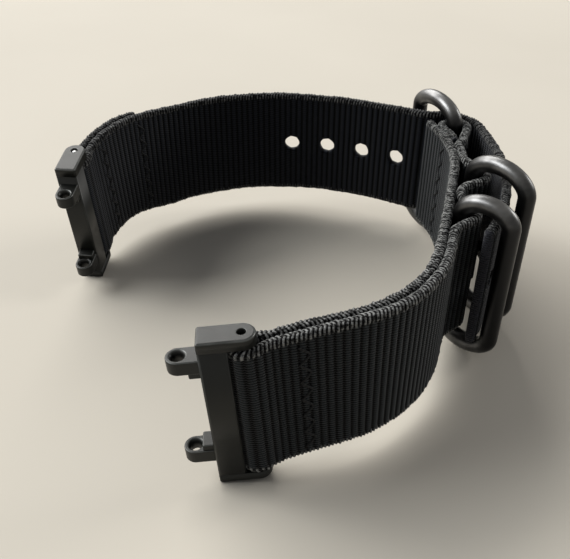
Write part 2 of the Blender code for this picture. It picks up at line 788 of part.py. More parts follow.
def build_spring_bar(label, stand, parts):
    """Tube, spring and the two sprung tips of one spring bar."""
    collar_top = EAR_FACE - COLLAR_EAR_GAP
    top = EAR_FACE + TIP_BITE
    profile = ((0, top), (TIP_RADIUS - TIP_ROUND, top), (TIP_RADIUS, top - TIP_ROUND),
               (TIP_RADIUS, collar_top), (COLLAR_RADIUS, collar_top),
               (COLLAR_RADIUS, collar_top - COLLAR_THICKNESS),
               (STEM_RADIUS, collar_top - COLLAR_THICKNESS),
               (STEM_RADIUS, STEM_INNER_END), (0, STEM_INNER_END))
    for end, sign in (("upper", 1), ("lower", -1)):
        name = "spring_bar_%s_%s_tip" % (label, end)
        turned = [(radius, sign * z) for radius, z in profile]
        tip = add_object(name, turned_mesh(turned[::sign], BAR_SIDES),
                         make_material(name, TIP_TINT, 0.25, 1.0), parts)
        stand.place(tip)
        PARTS[name] = tip
    name = "spring_bar_%s_tube" % label
    tube = add_object(name, tube_mesh(), make_material(name, TUBE_TINT, 0.3, 1.0), parts)
    stand.place(tube)
    PARTS[name] = tube
    name = "spring_bar_%s_spring" % label
    low = SPRING_END_GAP + SPRING_WIRE_RADIUS - STEM_INNER_END
    count = SPRING_TURNS * SPRING_TURN_STEPS
    points = []
    for k in range(count + 1):
        angle = 2 * math.pi * k / SPRING_TURN_STEPS
        points.append((SPRING_RADIUS * math.cos(angle), SPRING_RADIUS * math.sin(angle),
                       low - 2 * low * k / count))
    coil = add_object(name, wire_mesh(points, SPRING_WIRE_RADIUS, SPRING_SIDES, False),
                      make_material(name, SPRING_TINT, 0.3, 1.0), parts, smooth=True)
    stand.place(coil)
    PARTS[name] = coil


def tube_mesh():
    """Hollow tube of a spring bar, open at both ends."""
    profile = ((TUBE_RADIUS, TUBE_HALF), (TUBE_RADIUS, -TUBE_HALF),
               (TUBE_BORE_RADIUS, -TUBE_HALF), (TUBE_BORE_RADIUS, TUBE_HALF),
               (TUBE_RADIUS, TUBE_HALF))
    return turned_mesh(profile, BAR_SIDES)


def build_thread(name, run, stand, station, rise_at, parts):
    """One thread of a zigzag row across the webbing, lying on one of its faces."""
    points = []
    for k in range(THREAD_STEPS + 1):
        z = (k / THREAD_STEPS - 1 / 2) * THREAD_ROW
        here = station + THREAD_SWING * (1 if k % 2 else -1)
        place = run.at(here, rise_at(here))[0]
        points.append((place[0], place[1], z))
    thread = add_object(name, wire_mesh(points, THREAD_RADIUS, THREAD_SIDES, False),
                        make_material(name, THREAD_TINT, 0.7, 0.0), parts, smooth=True)
    stand.lean_mesh(thread.data)
    thread.location.z = MID_Z
    PARTS[name] = thread


def build_row(name, run, stand, station, layer_at, parts):
    """Top thread and under thread of one row that holds the layers together."""
    lift = WEBBING_THICKNESS / 2 + THREAD_GAP + THREAD_RADIUS

    def top(here):
        near = layer_at(here - THREAD_SWING)
        slope = (layer_at(here + THREAD_SWING) - near) / (2 * THREAD_SWING)
        return layer_at(here) + lift * math.hypot(1.0, slope)

    build_thread("%s_top_thread" % name, run, stand, station, top, parts)
    build_thread("%s_under_thread" % name, run, stand, station, lambda here: -lift, parts)


def centre_parts(objects):
    """Slide everything in plan so that the middle of the whole stands over the origin."""
    low = np.full(2, np.inf)
    high = np.full(2, -np.inf)
    for item in objects:
        bpy.context.view_layer.update()
        place = np.array(item.matrix_world)
        count = len(item.data.vertices)
        local = np.empty(count * 3)
        item.data.vertices.foreach_get("co", local)
        world = local.reshape(-1, 3) @ place[:3, :3].T + place[:3, 3]
        low = np.minimum(low, world[:, :2].min(axis=0))
        high = np.maximum(high, world[:, :2].max(axis=0))
    middle = (low + high) / 2
    for item in objects:
        item.location.x -= middle[0]
        item.location.y -= middle[1]
    return middle


def main():
    """Build every piece."""
    clear_scene()
    PARTS.clear()
    parts = make_collection("webbing_watch_strap", False)
    cutters = make_collection("cutters", True)
    long_path = long_run()
    liner = liner_run()

    bars = {}
    for key, station, rise, lean in (
            ("keeper", KEEPER_STATION, KEEPER_BAR_RISE, KEEPER_LEAN),
            ("buckle", BUCKLE_STATION, BUCKLE_BAR_RISE, BUCKLE_LEAN),
            ("flap", FLAP_STATION, FLAP_BAR_RISE, FLAP_LEAN)):
        place, heading, _ = liner.at(station, rise)
        bars[key] = (place, heading - math.pi / 2 + math.radians(lean))

    place, heading = bars["buckle"]
    ahead = np.array((math.cos(heading), math.sin(heading)))
    left = np.array((-ahead[1], ahead[0]))
    arm_line = place - left * (WIRE_RADIUS + TONGUE_RING_GAP + TONGUE_WRAP / 2)
    tongue_station = tail_station(long_path, arm_line, ahead)

    stand_a = Stand(*long_path.centre, BAR_A_HEADING + ADAPTER_A_TURN, ADAPTER_A_LEAN)
    stand_b = Stand(*liner.centre, BAR_B_HEADING + ADAPTER_B_TURN, ADAPTER_B_LEAN)
    PARTS["long_strap_webbing"] = build_long(long_path, stand_a, parts, cutters, tongue_station)
    PARTS["short_strap_webbing"] = build_short(liner, stand_b, parts, cutters)
    PARTS["buckle_ring"] = build_ring("buckle_ring", BUCKLE_RING_SPAN, RING_END_RISE,
                                      *bars["buckle"], parts, BUCKLE_RING_TINT)
    PARTS["keeper_ring"] = build_ring("keeper_ring", KEEPER_RING_SPAN, KEEPER_END_RISE,
                                      *bars["keeper"], parts, KEEPER_RING_TINT)
    PARTS["flap_ring"] = build_ring("flap_ring", FLAP_RING_SPAN, FLAP_END_RISE,
                                    *bars["flap"], parts, FLAP_RING_TINT)
    PARTS["buckle_tongue"] = build_tongue(place, heading, parts)
    PARTS["adapter_a"] = build_adapter("adapter_a", stand_a, parts, cutters, -1)
    PARTS["adapter_b"] = build_adapter("adapter_b", stand_b, parts, cutters, 1)
    build_spring_bar("a", stand_a, parts)
    build_spring_bar("b", stand_b, parts)

    between_low = (KEEPER_STATION + BUCKLE_STATION) / 2
    before_keeper = KEEPER_STATION - ROW_KEEPER_SETBACK
    before_flap = FLAP_STATION - ROW_FLAP_SETBACK
    for name, station in (("long_end_near_row", ROW_A_NEAR), ("long_end_far_row", ROW_A_FAR)):
        build_row(name, long_path, stand_a, station, lambda here: LAYER_PITCH, parts)
    for name, station in (("short_end_row", ROW_B_NEAR), ("keeper_row", before_keeper),
                          ("buckle_row", between_low), ("flap_fold_row", before_flap)):
        build_row(name, liner, stand_b, station, outer_rise, parts)
    middle = centre_parts(list(PARTS.values()))
    bpy.data.collections.remove(cutters)
    return middle, bars, tongue_station


main()
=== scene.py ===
# %% [markdown]
# A two-piece webbing watch strap, buckled in a loop and standing on its long edge.
# The imported model gives the frame: where every piece is and what moves. This script
# only dresses it. The cloth is carried again along its path with its ribs and its edge
# loops, the metal gets rounded edges and its coating, and everything rides on the body
# it belongs to. The lowest point of each new end piece is printed beside that of its
# solid in the frame.

# %% Load the frame
import json
import math
import bpy
import numpy as np
from mathutils import Matrix, Vector


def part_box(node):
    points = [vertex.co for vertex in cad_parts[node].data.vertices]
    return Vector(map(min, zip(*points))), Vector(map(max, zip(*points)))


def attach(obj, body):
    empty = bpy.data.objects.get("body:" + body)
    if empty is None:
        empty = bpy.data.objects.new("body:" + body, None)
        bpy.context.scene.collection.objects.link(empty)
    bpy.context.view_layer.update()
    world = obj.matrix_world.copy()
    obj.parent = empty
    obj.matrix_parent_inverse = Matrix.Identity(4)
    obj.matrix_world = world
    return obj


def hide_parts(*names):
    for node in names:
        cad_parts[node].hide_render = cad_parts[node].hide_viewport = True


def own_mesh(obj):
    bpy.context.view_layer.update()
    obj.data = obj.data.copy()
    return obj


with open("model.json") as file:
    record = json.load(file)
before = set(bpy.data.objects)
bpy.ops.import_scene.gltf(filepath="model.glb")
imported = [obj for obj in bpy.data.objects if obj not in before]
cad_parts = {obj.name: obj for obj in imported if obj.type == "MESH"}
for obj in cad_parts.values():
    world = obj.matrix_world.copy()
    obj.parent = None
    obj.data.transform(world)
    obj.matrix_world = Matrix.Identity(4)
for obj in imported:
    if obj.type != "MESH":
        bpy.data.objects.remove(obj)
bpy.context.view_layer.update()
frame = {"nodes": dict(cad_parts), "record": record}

# %% [markdown]
# The camera stands where the photograph was taken from: in front of the strap, a hand's
# width away and about 36 degrees above it. Its place was found by fitting the long
# edges of the webbing, whose width is known. The frame is taken as 570 by 559, with the
# optical axis through its middle, so the lens follows from the focal length in pixels.

# %% Camera at the photograph's place
FRAME_WIDTH = 570
FOCAL_PIXELS = 740.0
SENSOR = 36.0
PITCH = math.radians(36.0705)
ROLL = math.radians(-0.109)
AIM = Vector((-0.000662, 0.004748, 0.0051))
DISTANCE = 0.1517325
CLIP_START = 0.005


def photo_camera():
    """Camera looking down at the aim point by the pitch, turned a little about its axis."""
    ahead = Vector((0, math.cos(PITCH), -math.sin(PITCH)))
    right = Vector((1, 0, 0))
    down = ahead.cross(right)
    turned_right = right * math.cos(ROLL) + down * math.sin(ROLL)
    turned_down = -right * math.sin(ROLL) + down * math.cos(ROLL)
    data = bpy.data.cameras.new("photo_camera")
    data.sensor_width = SENSOR
    data.lens = FOCAL_PIXELS / FRAME_WIDTH * SENSOR
    data.clip_start = CLIP_START
    camera = bpy.data.objects.new("photo_camera", data)
    bpy.context.scene.collection.objects.link(camera)
    turn = Matrix((turned_right, -turned_down, -ahead)).transposed().to_4x4()
    camera.matrix_world = Matrix.Translation(AIM - ahead * DISTANCE) @ turn
    bpy.context.scene.camera = camera
    return camera


camera = photo_camera()
print("camera at", [round(v, 4) for v in camera.matrix_world.translation])

# %% [markdown]
# Materials are worked out as expressions. A Signal wraps one output socket, and its
# operators add Math nodes, so a pattern reads like the sum that it is. Colours go
# through Mix nodes, because a Math node would turn them grey. Every node is made by one
# function, which sets its settings first, because they decide which sockets it has.

# %% Shader expressions


def add_node(tree, kind, settings=None, values=()):
    """Node of a kind, with its settings made first and its sockets given or linked."""
    made = tree.nodes.new(kind)
    for key, value in (settings or {}).items():
        setattr(made, key, value)
    for key, value in (values.items() if isinstance(values, dict) else enumerate(values)):
        value = getattr(value, "socket", value)
        if isinstance(value, bpy.types.NodeSocket):
            tree.links.new(value, made.inputs[key])
        else:
            made.inputs[key].default_value = value
    return made


class Signal:
    """An output socket whose operators add Math nodes."""

    def __init__(self, finish, socket):
        self.finish = finish
        self.socket = socket

    def _math(self, operation, *values):
        return self.finish.node("ShaderNodeMath", {"operation": operation}, values)

    def __add__(self, other):
        return self._math("ADD", self, other)

    def __radd__(self, other):
        return self._math("ADD", other, self)

    def __sub__(self, other):
        return self._math("SUBTRACT", self, other)

    def __rsub__(self, other):
        return self._math("SUBTRACT", other, self)

    def __mul__(self, other):
        return self._math("MULTIPLY", self, other)

    def __rmul__(self, other):
        return self._math("MULTIPLY", other, self)

    def abs(self):
        return self._math("ABSOLUTE", self)

    def floor(self):
        return self._math("FLOOR", self)

    def least(self, other):
        return self._math("MINIMUM", self, other)

    def wave(self):
        """Height of a row of round ridges, one for each whole number: |sin(pi * self)|."""
        return self._math("SINE", self * math.pi).abs()

    def between(self, low, high):
        """0 below low, 1 above high, smooth between them."""
        return self.finish.node("ShaderNodeMapRange", {"interpolation_type": "SMOOTHSTEP"},
                                {"Value": self, "From Min": low, "From Max": high})


class Finish:
    """One Principled material and the nodes that feed it."""

    def __init__(self, name, **constants):
        self.material = bpy.data.materials.new(name)
        self.material.use_nodes = True
        self.tree = self.material.node_tree
        self.shader = self.tree.nodes["Principled BSDF"]
        for key, value in constants.items():
            self.shader.inputs[key.replace("_", " ")].default_value = value

    def node(self, kind, settings=None, values=(), out=0):
        """One output of a new node, as a signal."""
        return Signal(self, add_node(self.tree, kind, settings, values).outputs[out])

    def place(self):
        """Object coordinates, in metres."""
        return self.node("ShaderNodeTexCoord", out="Object")

    def cloth_map(self):
        """Distance along the cloth and across it, in metres, from its own map."""
        both = self.node("ShaderNodeUVMap", {"uv_map": "cloth"})
        split = add_node(self.tree, "ShaderNodeSeparateXYZ", None, [both])
        return Signal(self, split.outputs["X"]), Signal(self, split.outputs["Y"])

    def stored(self, name):
        """A number kept at the points of the mesh."""
        return self.node("ShaderNodeAttribute", {"attribute_name": name}, out=2)

    def noise(self, vector, scale, detail=2.0, roughness=0.5):
        """Cloudy pattern from 0 to 1."""
        return self.node("ShaderNodeTexNoise", None,
                         {"Vector": vector, "Scale": scale, "Detail": detail,
                          "Roughness": roughness})

    def mix(self, share, low, high):
        """Colour between two colours, each plain or a signal."""
        low, high = ((*c, 1.0) if isinstance(c, tuple) else c for c in (low, high))
        return self.node("ShaderNodeMix", {"data_type": "RGBA"}, {0: share, 6: low, 7: high}, 2)

    def feed(self, name, signal):
        """Link a signal to a socket of the shader."""
        self.tree.links.new(signal.socket, self.shader.inputs[name])

    def bump(self, height, distance, strength=1.0):
        """Raise the surface by a height signal, in metres per unit."""
        self.feed("Normal", self.node("ShaderNodeBump", None,
                                      {"Strength": strength, "Distance": distance,
                                       "Height": height}))


# %% [markdown]
# Every new piece is a grid: rows of points along a path, and columns around a section.
# One helper gives its faces, closed where the grid runs round and wound so that they look
# outwards, and another makes the mesh. A last one seats a piece: what it rides on, and which
# node of the frame it stands for.

# %% Grids to meshes
TWO_PI = 2 * math.pi


def grid_faces(rows, columns, close_rows, close_columns):
    """Quads of a grid; a closed direction joins its last line to its first."""
    down = np.arange(rows if close_rows else rows - 1)
    along = np.arange(columns if close_columns else columns - 1)
    i, j = np.meshgrid(down, along, indexing="ij")
    i, j = i.ravel(), j.ravel()
    i2, j2 = (i + 1) % rows, (j + 1) % columns
    return np.stack([i * columns + j, i * columns + j2, i2 * columns + j2, i2 * columns + j],
                    axis=1)


def in_mm(place):
    """A place in millimetres, rounded, for printing."""
    return np.round(np.array(place) * 1000, 2)


def store(mesh, name, values):
    """Keep one number at each point of a mesh, for its finish to read."""
    layer = mesh.attributes.new(name, "FLOAT", "POINT")
    layer.data.foreach_set("value", np.asarray(values, dtype=np.float32).ravel())


def make_piece(name, points, faces, finish, smooth=True, maps=None):
    """Object from points and quads or triangles, with an optional map for its cloth."""
    mesh = bpy.data.meshes.new(name)
    mesh.from_pydata(points.reshape(-1, 3).tolist(), [], [tuple(f) for f in faces])
    mesh.update()
    mesh.polygons.foreach_set("use_smooth", [smooth] * len(mesh.polygons))
    if maps is not None:
        layer = mesh.uv_layers.new(name="cloth")
        corner = np.empty(len(mesh.loops), dtype=np.int64)
        mesh.loops.foreach_get("vertex_index", corner)
        layer.data.foreach_set("uv", maps.reshape(-1, 2)[corner].ravel())
    mesh.materials.append(finish.material)
    piece = bpy.data.objects.new(name, mesh)
    bpy.context.scene.collection.objects.link(piece)
    return piece


def seat(piece, body, node):
    """Let a piece ride on its body and stand for its node, whose solid is hidden."""
    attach(piece, body)
    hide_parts(node)
    return piece


def end_caps(rows, columns):
    """A polygon over each end of a grid whose columns run round."""
    ring = np.arange(columns)
    return [tuple(ring[::-1]), tuple((rows - 1) * columns + ring)]


def capped(rows, columns):
    """Faces of a grid whose columns run round, with both ends closed."""
    return [tuple(f) for f in grid_faces(rows, columns, False, True)] + end_caps(rows, columns)


print("grid helpers ready")

# %% [markdown]
# The cloth follows the same path as the solid: a chain of arcs from its spring bar, with
# a second layer that lies one pitch further out. The sizes are those of the solids. The
# whole was slid in plan when it was made, so the path is set on the frame by the place
# of the spring bar, which the frame gives.

# %% Paths of the two pieces of webbing
WIDTH = 0.0240
THICK = 0.0014
LAYER_GAP = 0.0003
PITCH_LAYERS = THICK + LAYER_GAP
TUBE_RADIUS = 0.00075
TUBE_LOOP_GAP = 0.0002
LOOP_RADIUS = TUBE_RADIUS + TUBE_LOOP_GAP + THICK / 2
WIRE = 0.0016
BAR_GAP = 0.0002
TO_LAYER = WIRE + BAR_GAP + THICK / 2
RING_BAR_SHORT = 0.0003
RING_BAR_HALF = WIDTH / 2 - RING_BAR_SHORT
RING_RISE = 0.0038
KEEPER_RISE = 0.0030
FLAP_END_RISE = 0.0033
MID_Z = RING_BAR_HALF + RING_RISE + WIRE
TONGUE_WRAP = 0.0009
TONGUE_EYE_GAP = 0.00015
BUCKLE_RISE = THICK / 2 + BAR_GAP + TONGUE_WRAP + TONGUE_EYE_GAP + WIRE
FLAP_RISE = PITCH_LAYERS + TO_LAYER

LONG_HEADING = 81.4
LONG_ARCS = ((0.0105, -16.0), (0.0190, -31.4), (0.0241, -35.2), (0.0192, -21.1),
             (0.0131, -7.4), (0.0043, 39.1), (0.0066, -58.7), (0.0050, -31.3),
             (0.0189, -15.4), (0.0248, -26.5))
LONG_FOLD = 0.0200
LINER_HEADING = 17.3
LINER_ARCS = ((0.0131, 2.9), (0.0265, 53.0), (0.0290, 3.5), (0.0157, 27.9), (0.0052, 4.3))
FLAP_SETBACK = 0.0032
FLAP_TO_BUCKLE = 0.0200
BUCKLE_TO_KEEPER = 0.0146
FLAP_STATION = sum(run for run, _ in LINER_ARCS) - FLAP_SETBACK
BUCKLE_STATION = FLAP_STATION - FLAP_TO_BUCKLE
KEEPER_STATION = BUCKLE_STATION - BUCKLE_TO_KEEPER
BUMP_HALF = 0.0066
FOLD_BACK = 0.0058
FOLD_RISE = 0.0020
LOOP_BLEND = 0.0045
FINE_STEP = 0.00013125
FOLD_POINTS = 46
print("layer pitch, loop radius, mm", in_mm(PITCH_LAYERS), in_mm(LOOP_RADIUS))

# %% Chains of arcs and soft steps


def chain(heading, arcs, step):
    """Points, headings and stations of a chain of arcs that begins at the origin."""
    angle = math.radians(heading)
    place = np.zeros(2)
    points, headings, stations = [place[None]], [np.array([angle])], [np.array([0.0])]
    done = 0.0
    for run, turn in arcs:
        count = max(2, math.ceil(run / step))
        share = np.arange(1, count + 1) / count
        bend = math.radians(turn)
        half = bend * share / 2
        reach = run * share * np.sinc(half / math.pi)
        part = place + reach[:, None] * np.stack([np.cos(angle + half),
                                                  np.sin(angle + half)], axis=1)
        points.append(part)
        headings.append(angle + bend * share)
        stations.append(done + run * share)
        place, angle, done = part[-1], angle + bend, done + run
    return np.concatenate(points), np.concatenate(headings), np.concatenate(stations)


def ease(value):
    """Smooth step from 0 to 1."""
    held = np.clip(value, 0.0, 1.0)
    return held * held * (3 - 2 * held)


def hump(stations, centre, half):
    """Raised cosine, 1 at its centre and 0 beyond its half width."""
    return (1 + np.cos(math.pi * np.clip(np.abs(stations - centre) / half, 0, 1))) / 2


print("turns of the two pieces, degrees", sum(turn for _, turn in LONG_ARCS),
      sum(turn for _, turn in LINER_ARCS))

# %% A layer's path


class Run:
    """One layer's path; side is +1 where the outside lies to its left."""

    def __init__(self, heading, arcs, side, bar):
        left = np.array((-math.sin(math.radians(heading)), math.cos(math.radians(heading))))
        self.side = side
        self.bar = np.array(bar)
        self.points, self.headings, self.stations = chain(heading, arcs, FINE_STEP)
        self.points += self.bar - side * left * PITCH_LAYERS / 2

    def at(self, stations, rise=0.0):
        """Points at stations, raised to the outside."""
        stations = np.asarray(stations, dtype=float)
        heading = np.interp(stations, self.stations, self.headings)
        out = self.side * np.stack([-np.sin(heading), np.cos(heading)], axis=-1)
        spot = np.stack([np.interp(stations, self.stations, self.points[:, k])
                         for k in range(2)], axis=-1)
        return spot + out * np.asarray(rise)[..., None]

    def spread(self, stations):
        """How far a layer swings out to run round its spring bar."""
        return (LOOP_RADIUS - PITCH_LAYERS / 2) * (1 - ease(stations / LOOP_BLEND))


def hinge(name):
    """Place and axis of a joint, from the record."""
    for joint in frame["record"]["behaviour"]["joints"]:
        if joint["name"] == name:
            return np.array(joint["pos_m"]), np.array(joint["axis"])
    raise ValueError(name)


bar_a, axis_a = hinge("end_piece_a_turn")
bar_b, axis_b = hinge("end_piece_b_turn")
long_run = Run(LONG_HEADING, LONG_ARCS, 1, bar_a[:2])
liner = Run(LINER_HEADING, LINER_ARCS, -1, bar_b[:2])
print("long piece, liner, mm", np.round([long_run.stations[-1] * 1000,
                                        liner.stations[-1] * 1000], 1))
print("flap bar", liner.at(FLAP_STATION, FLAP_RISE), hinge("flap_ring_swing")[0])

# %% [markdown]
# The webbing near each spring bar leans with the end piece, because the bar carries
# both. The lean turns a point about the bar's place and fades out along the strap.
# The end pieces and the bars take the whole of it, as one turn and one shift.

# %% The lean of the two ends
LEAN_HELD = 0.0060
LEAN_FADE = 0.0220
END_A_TURN = 2.6
END_B_TURN = -13.8
END_A_LEAN = 9.0
END_B_LEAN = 4.2


class Stand:
    """How one spring bar stands: its plan point, the heading into the strap, its lean."""

    def __init__(self, bar, heading, lean):
        turn = Matrix.Rotation(math.radians(heading), 4, "Z")
        tilt = turn @ Matrix.Rotation(-math.radians(lean), 4, "Y")
        self.bar = bar[:2]
        self.place = np.array(Matrix.Translation((*bar[:2], MID_Z)) @ tilt)
        self.swing = np.array((tilt @ turn.inverted()).to_3x3())

    def lean(self, points):
        """Cloth points with Z from the webbing's middle, turned by their share of the lean."""
        away = points - np.array((*self.bar, 0))
        reach = np.hypot(away[..., 0], away[..., 1])
        share = 1 - ease((reach - LEAN_HELD) / LEAN_FADE)
        return points + share[..., None] * (away @ self.swing.T - away) + (0, 0, MID_Z)

    def set(self, points):
        """Points of a metal piece from its own frame to the strap's."""
        return points @ self.place[:3, :3].T + self.place[:3, 3]


stand_a = Stand(bar_a, LONG_HEADING + END_A_TURN, END_A_LEAN)
stand_b = Stand(bar_b, LINER_HEADING + END_B_TURN, END_B_LEAN)

# %% [markdown]
# Both webbings are one line each, bent back on itself. The long one is folded round its
# bar, so its line is the outer layer read backwards, half a circle, and the inner layer.
# The short one goes round its bar too, over the keeper and the buckle bars, then round
# the flap ring's bar, and ends in a short layer under itself. The line is then sampled
# in equal steps, so that ribs and holes keep their spacing.

# %% Middle lines
HOLE_PITCH = 0.0084
ROWS_PER_HOLE = 52
ROW_PITCH = HOLE_PITCH / ROWS_PER_HOLE
TURN_STEPS = 60
SAME_PLACE = 1e-7
SOFTENED = 9


def half_turn(centre, first):
    """Points of half a circle from a first point, without its ends, to the left."""
    angle = math.pi * np.arange(1, TURN_STEPS) / TURN_STEPS
    arm = first - centre
    return centre + np.stack([np.cos(angle) * arm[0] - np.sin(angle) * arm[1],
                              np.sin(angle) * arm[0] + np.cos(angle) * arm[1]], axis=1)


def outer_rise(stations):
    """Height of the short piece's outer layer: one pitch, a hump over each ring bar,
    and one pitch more where its own end lies beneath it."""
    hump_top = TO_LAYER - PITCH_LAYERS
    keeper = (TO_LAYER + hump_top) * hump(stations, KEEPER_STATION, BUMP_HALF)
    buckle = (BUCKLE_RISE + hump_top) * hump(stations, BUCKLE_STATION, BUMP_HALF)
    fold = FLAP_STATION - FOLD_BACK - LAYER_GAP
    doubled = PITCH_LAYERS * ease((stations - fold + FOLD_RISE) / FOLD_RISE)
    last = (FLAP_RISE + TO_LAYER - 2 * PITCH_LAYERS) * hump(
        np.minimum(stations, FLAP_STATION), FLAP_STATION, BUMP_HALF)
    return PITCH_LAYERS + keeper + buckle + doubled + last


class Line:
    """A webbing's middle line, with its length measured along it."""

    def __init__(self, points):
        step = np.linalg.norm(np.diff(points, axis=0), axis=1)
        points = points[np.concatenate([[True], step > SAME_PLACE])]
        step = np.linalg.norm(np.diff(points, axis=0), axis=1)
        self.points = points
        self.length = np.concatenate([[0], np.cumsum(step)])
        ahead = np.gradient(points, self.length, axis=0)
        padded = np.pad(ahead, ((SOFTENED // 2, SOFTENED // 2), (0, 0)), mode="edge")
        soft = np.ones(SOFTENED) / SOFTENED
        ahead = np.stack([np.convolve(padded[:, k], soft, "valid") for k in range(2)], axis=1)
        ahead /= np.linalg.norm(ahead, axis=1)[:, None]
        self.left = np.stack([-ahead[:, 1], ahead[:, 0]], axis=1)

    def read(self, table, reach):
        """Values of a table at lengths along the line."""
        return np.stack([np.interp(reach, self.length, table[:, k]) for k in range(2)], axis=-1)

    def place(self, reach, rise):
        """Points at lengths along the line, raised to its left."""
        return self.read(self.points, reach) + self.read(self.left, reach) * rise[..., None]


def long_line():
    """The long piece: folded end, half turn round the bar, inner layer to the free end."""
    stations = long_run.stations
    inner = long_run.at(stations, -long_run.spread(stations))
    back = stations[stations <= LONG_FOLD]
    outer = long_run.at(back, PITCH_LAYERS + long_run.spread(back))
    return Line(np.concatenate([outer[::-1], half_turn(long_run.bar, outer[0]), inner]))


def short_line():
    """The short piece: flap end to bar, half turn, outer layer, turn round the flap ring."""
    stations = liner.stations
    inner = liner.at(stations, -liner.spread(stations))[::-1]
    over = stations[stations < FLAP_STATION]
    outer = liner.at(over, outer_rise(over) + liner.spread(over))
    top = liner.at(FLAP_STATION, FLAP_RISE + TO_LAYER)
    wrap = half_turn(liner.at(FLAP_STATION, FLAP_RISE), top)
    under = np.linspace(FLAP_STATION, FLAP_STATION - FOLD_BACK, FOLD_POINTS)
    back = liner.at(under, np.full(len(under), PITCH_LAYERS))
    return Line(np.concatenate([inner, half_turn(liner.bar, inner[-1]), outer, top[None],
                                wrap, back]))


long_cloth = long_line()
short_cloth = short_line()
print("cut lengths, mm", np.round([long_cloth.length[-1] * 1000,
                                  short_cloth.length[-1] * 1000], 1))

# %% [markdown]
# The holes take the tongue, so the row is set out from where the tongue's tip meets the
# free end. The tongue is straight and starts beside the buckle's inner bar, and the
# holes follow from there at their pitch, one beyond it and nine before it.

# %% Where the holes are
BUCKLE_SPAN = 0.0122
FLAP_SPAN = 0.0128
KEEPER_SPAN = 0.0092
BUCKLE_LEAN = -39.0
KEEPER_LEAN = -27.0
FLAP_LEAN = 99.0
TONGUE_RING_GAP = 0.0003
HOLES_BEYOND = 1
HOLES_BEFORE = 9


def ring_place(station, rise, lean):
    """Plan point of a ring's inner bar, and the heading of the ring from it."""
    heading = np.interp(station, liner.stations, liner.headings)
    return liner.at(station, rise), heading - math.pi / 2 + math.radians(lean)


buckle_at, buckle_heading = ring_place(BUCKLE_STATION, BUCKLE_RISE, BUCKLE_LEAN)
keeper_at, keeper_heading = ring_place(KEEPER_STATION, TO_LAYER, KEEPER_LEAN)
flap_at, flap_heading = ring_place(FLAP_STATION, FLAP_RISE, FLAP_LEAN)
tongue_ahead = np.array((math.cos(buckle_heading), math.sin(buckle_heading)))
tongue_left = np.array((-tongue_ahead[1], tongue_ahead[0]))
arm_start = buckle_at - tongue_left * (WIRE + TONGUE_RING_GAP + TONGUE_WRAP / 2)


def tongue_crossing():
    """Last station of the long run that lies on the tongue's line, ahead of its eye."""
    offset = long_run.points - arm_start
    across = offset @ tongue_left
    crossing = (across[:-1] * across[1:] <= 0) & (offset[1:] @ tongue_ahead > 0)
    k = np.flatnonzero(crossing)[-1]
    share = across[k] / (across[k] - across[k + 1])
    return long_run.stations[k] + share * (long_run.stations[k + 1] - long_run.stations[k])


tongue_station = tongue_crossing()
inner_start = long_cloth.length[-1] - long_run.stations[-1]
hole_places = np.arange(-HOLES_BEYOND, HOLES_BEFORE + 1)
hole_reach = inner_start + tongue_station - HOLE_PITCH * hole_places
print("tongue at station, mm", round(tongue_station * 1000, 2), "rings at",
      buckle_at, keeper_at, flap_at)

# %% [markdown]
# Ribbed webbing is woven over thick cords that run across it. Each cord is a rounded
# ridge, and at the selvedge the cord turns back, which leaves a row of small slanting
# loops. A picture or a bump alone would leave the edges flat, and the edges are what is
# seen here, so ridges and loops are real relief. The section is a closed row of columns:
# one face, a rounded edge, the other face, the other edge. Finer yarns come from bump.

# %% The cloth's section and relief
HALF = 0.00073
HALF_WIDTH = WIDTH / 2
RIB = 8 * ROW_PITCH
RIB_RISE = 0.00013
LOOP = RIB / 2
LOOP_RISE = 0.00017
LOOP_SLANT = 0.7
PLAIT_GROOVE = 0.9
EDGE_STEPS = 10
GROOVE_SHARE = 0.25
RIDGE_POWER = 0.6
LOOP_POWER = 0.8
SWAY = 0.00006
LONG_SWAY = 410.0
SLOW_SWAY = 173.0
SELVEDGE = 0.0013
SELVEDGE_FADE = 0.0006
END_RUN = 0.0003
END_SHARE = 0.7
BAR_ROOM = 0.00093
FINE_COLUMN = 0.00034
rng = np.random.default_rng(11)
JITTER = rng.uniform(-0.5, 0.5, 997)


class Section:
    """Columns of the cloth's section: distance across (z) and through (y), outward
    direction, and how far each column belongs to the selvedge."""

    def __init__(self, face):
        flat = HALF_WIDTH - HALF
        turn = math.pi * (0.5 - np.arange(1, EDGE_STEPS) / EDGE_STEPS)
        face = np.array(face)
        one, none = np.ones(len(face)), np.zeros(len(face))
        self.z = np.concatenate([face, flat + HALF * np.cos(turn), face[::-1],
                                 -flat - HALF * np.cos(turn)])
        self.out_z = np.concatenate([none, np.cos(turn), none, -np.cos(turn)])
        self.out_y = np.concatenate([one, np.sin(turn), -one, -np.sin(turn)])
        self.y = HALF * self.out_y
        self.edge = ease((np.abs(self.z) - (HALF_WIDTH - SELVEDGE)) / SELVEDGE_FADE)
        self.face_columns = len(face)
        self.columns = len(self.z)

    def column(self, side, place):
        """Index of the column nearest to a distance across, on the left or right face."""
        span = slice(0, self.face_columns)
        nearest = int(np.argmin(np.abs(self.z[span] - place)))
        return nearest if side > 0 else self.face_columns * 2 + EDGE_STEPS - 2 - nearest


print("rib and loop pitch, mm", in_mm(RIB), in_mm(LOOP))

# %% Relief of the cloth


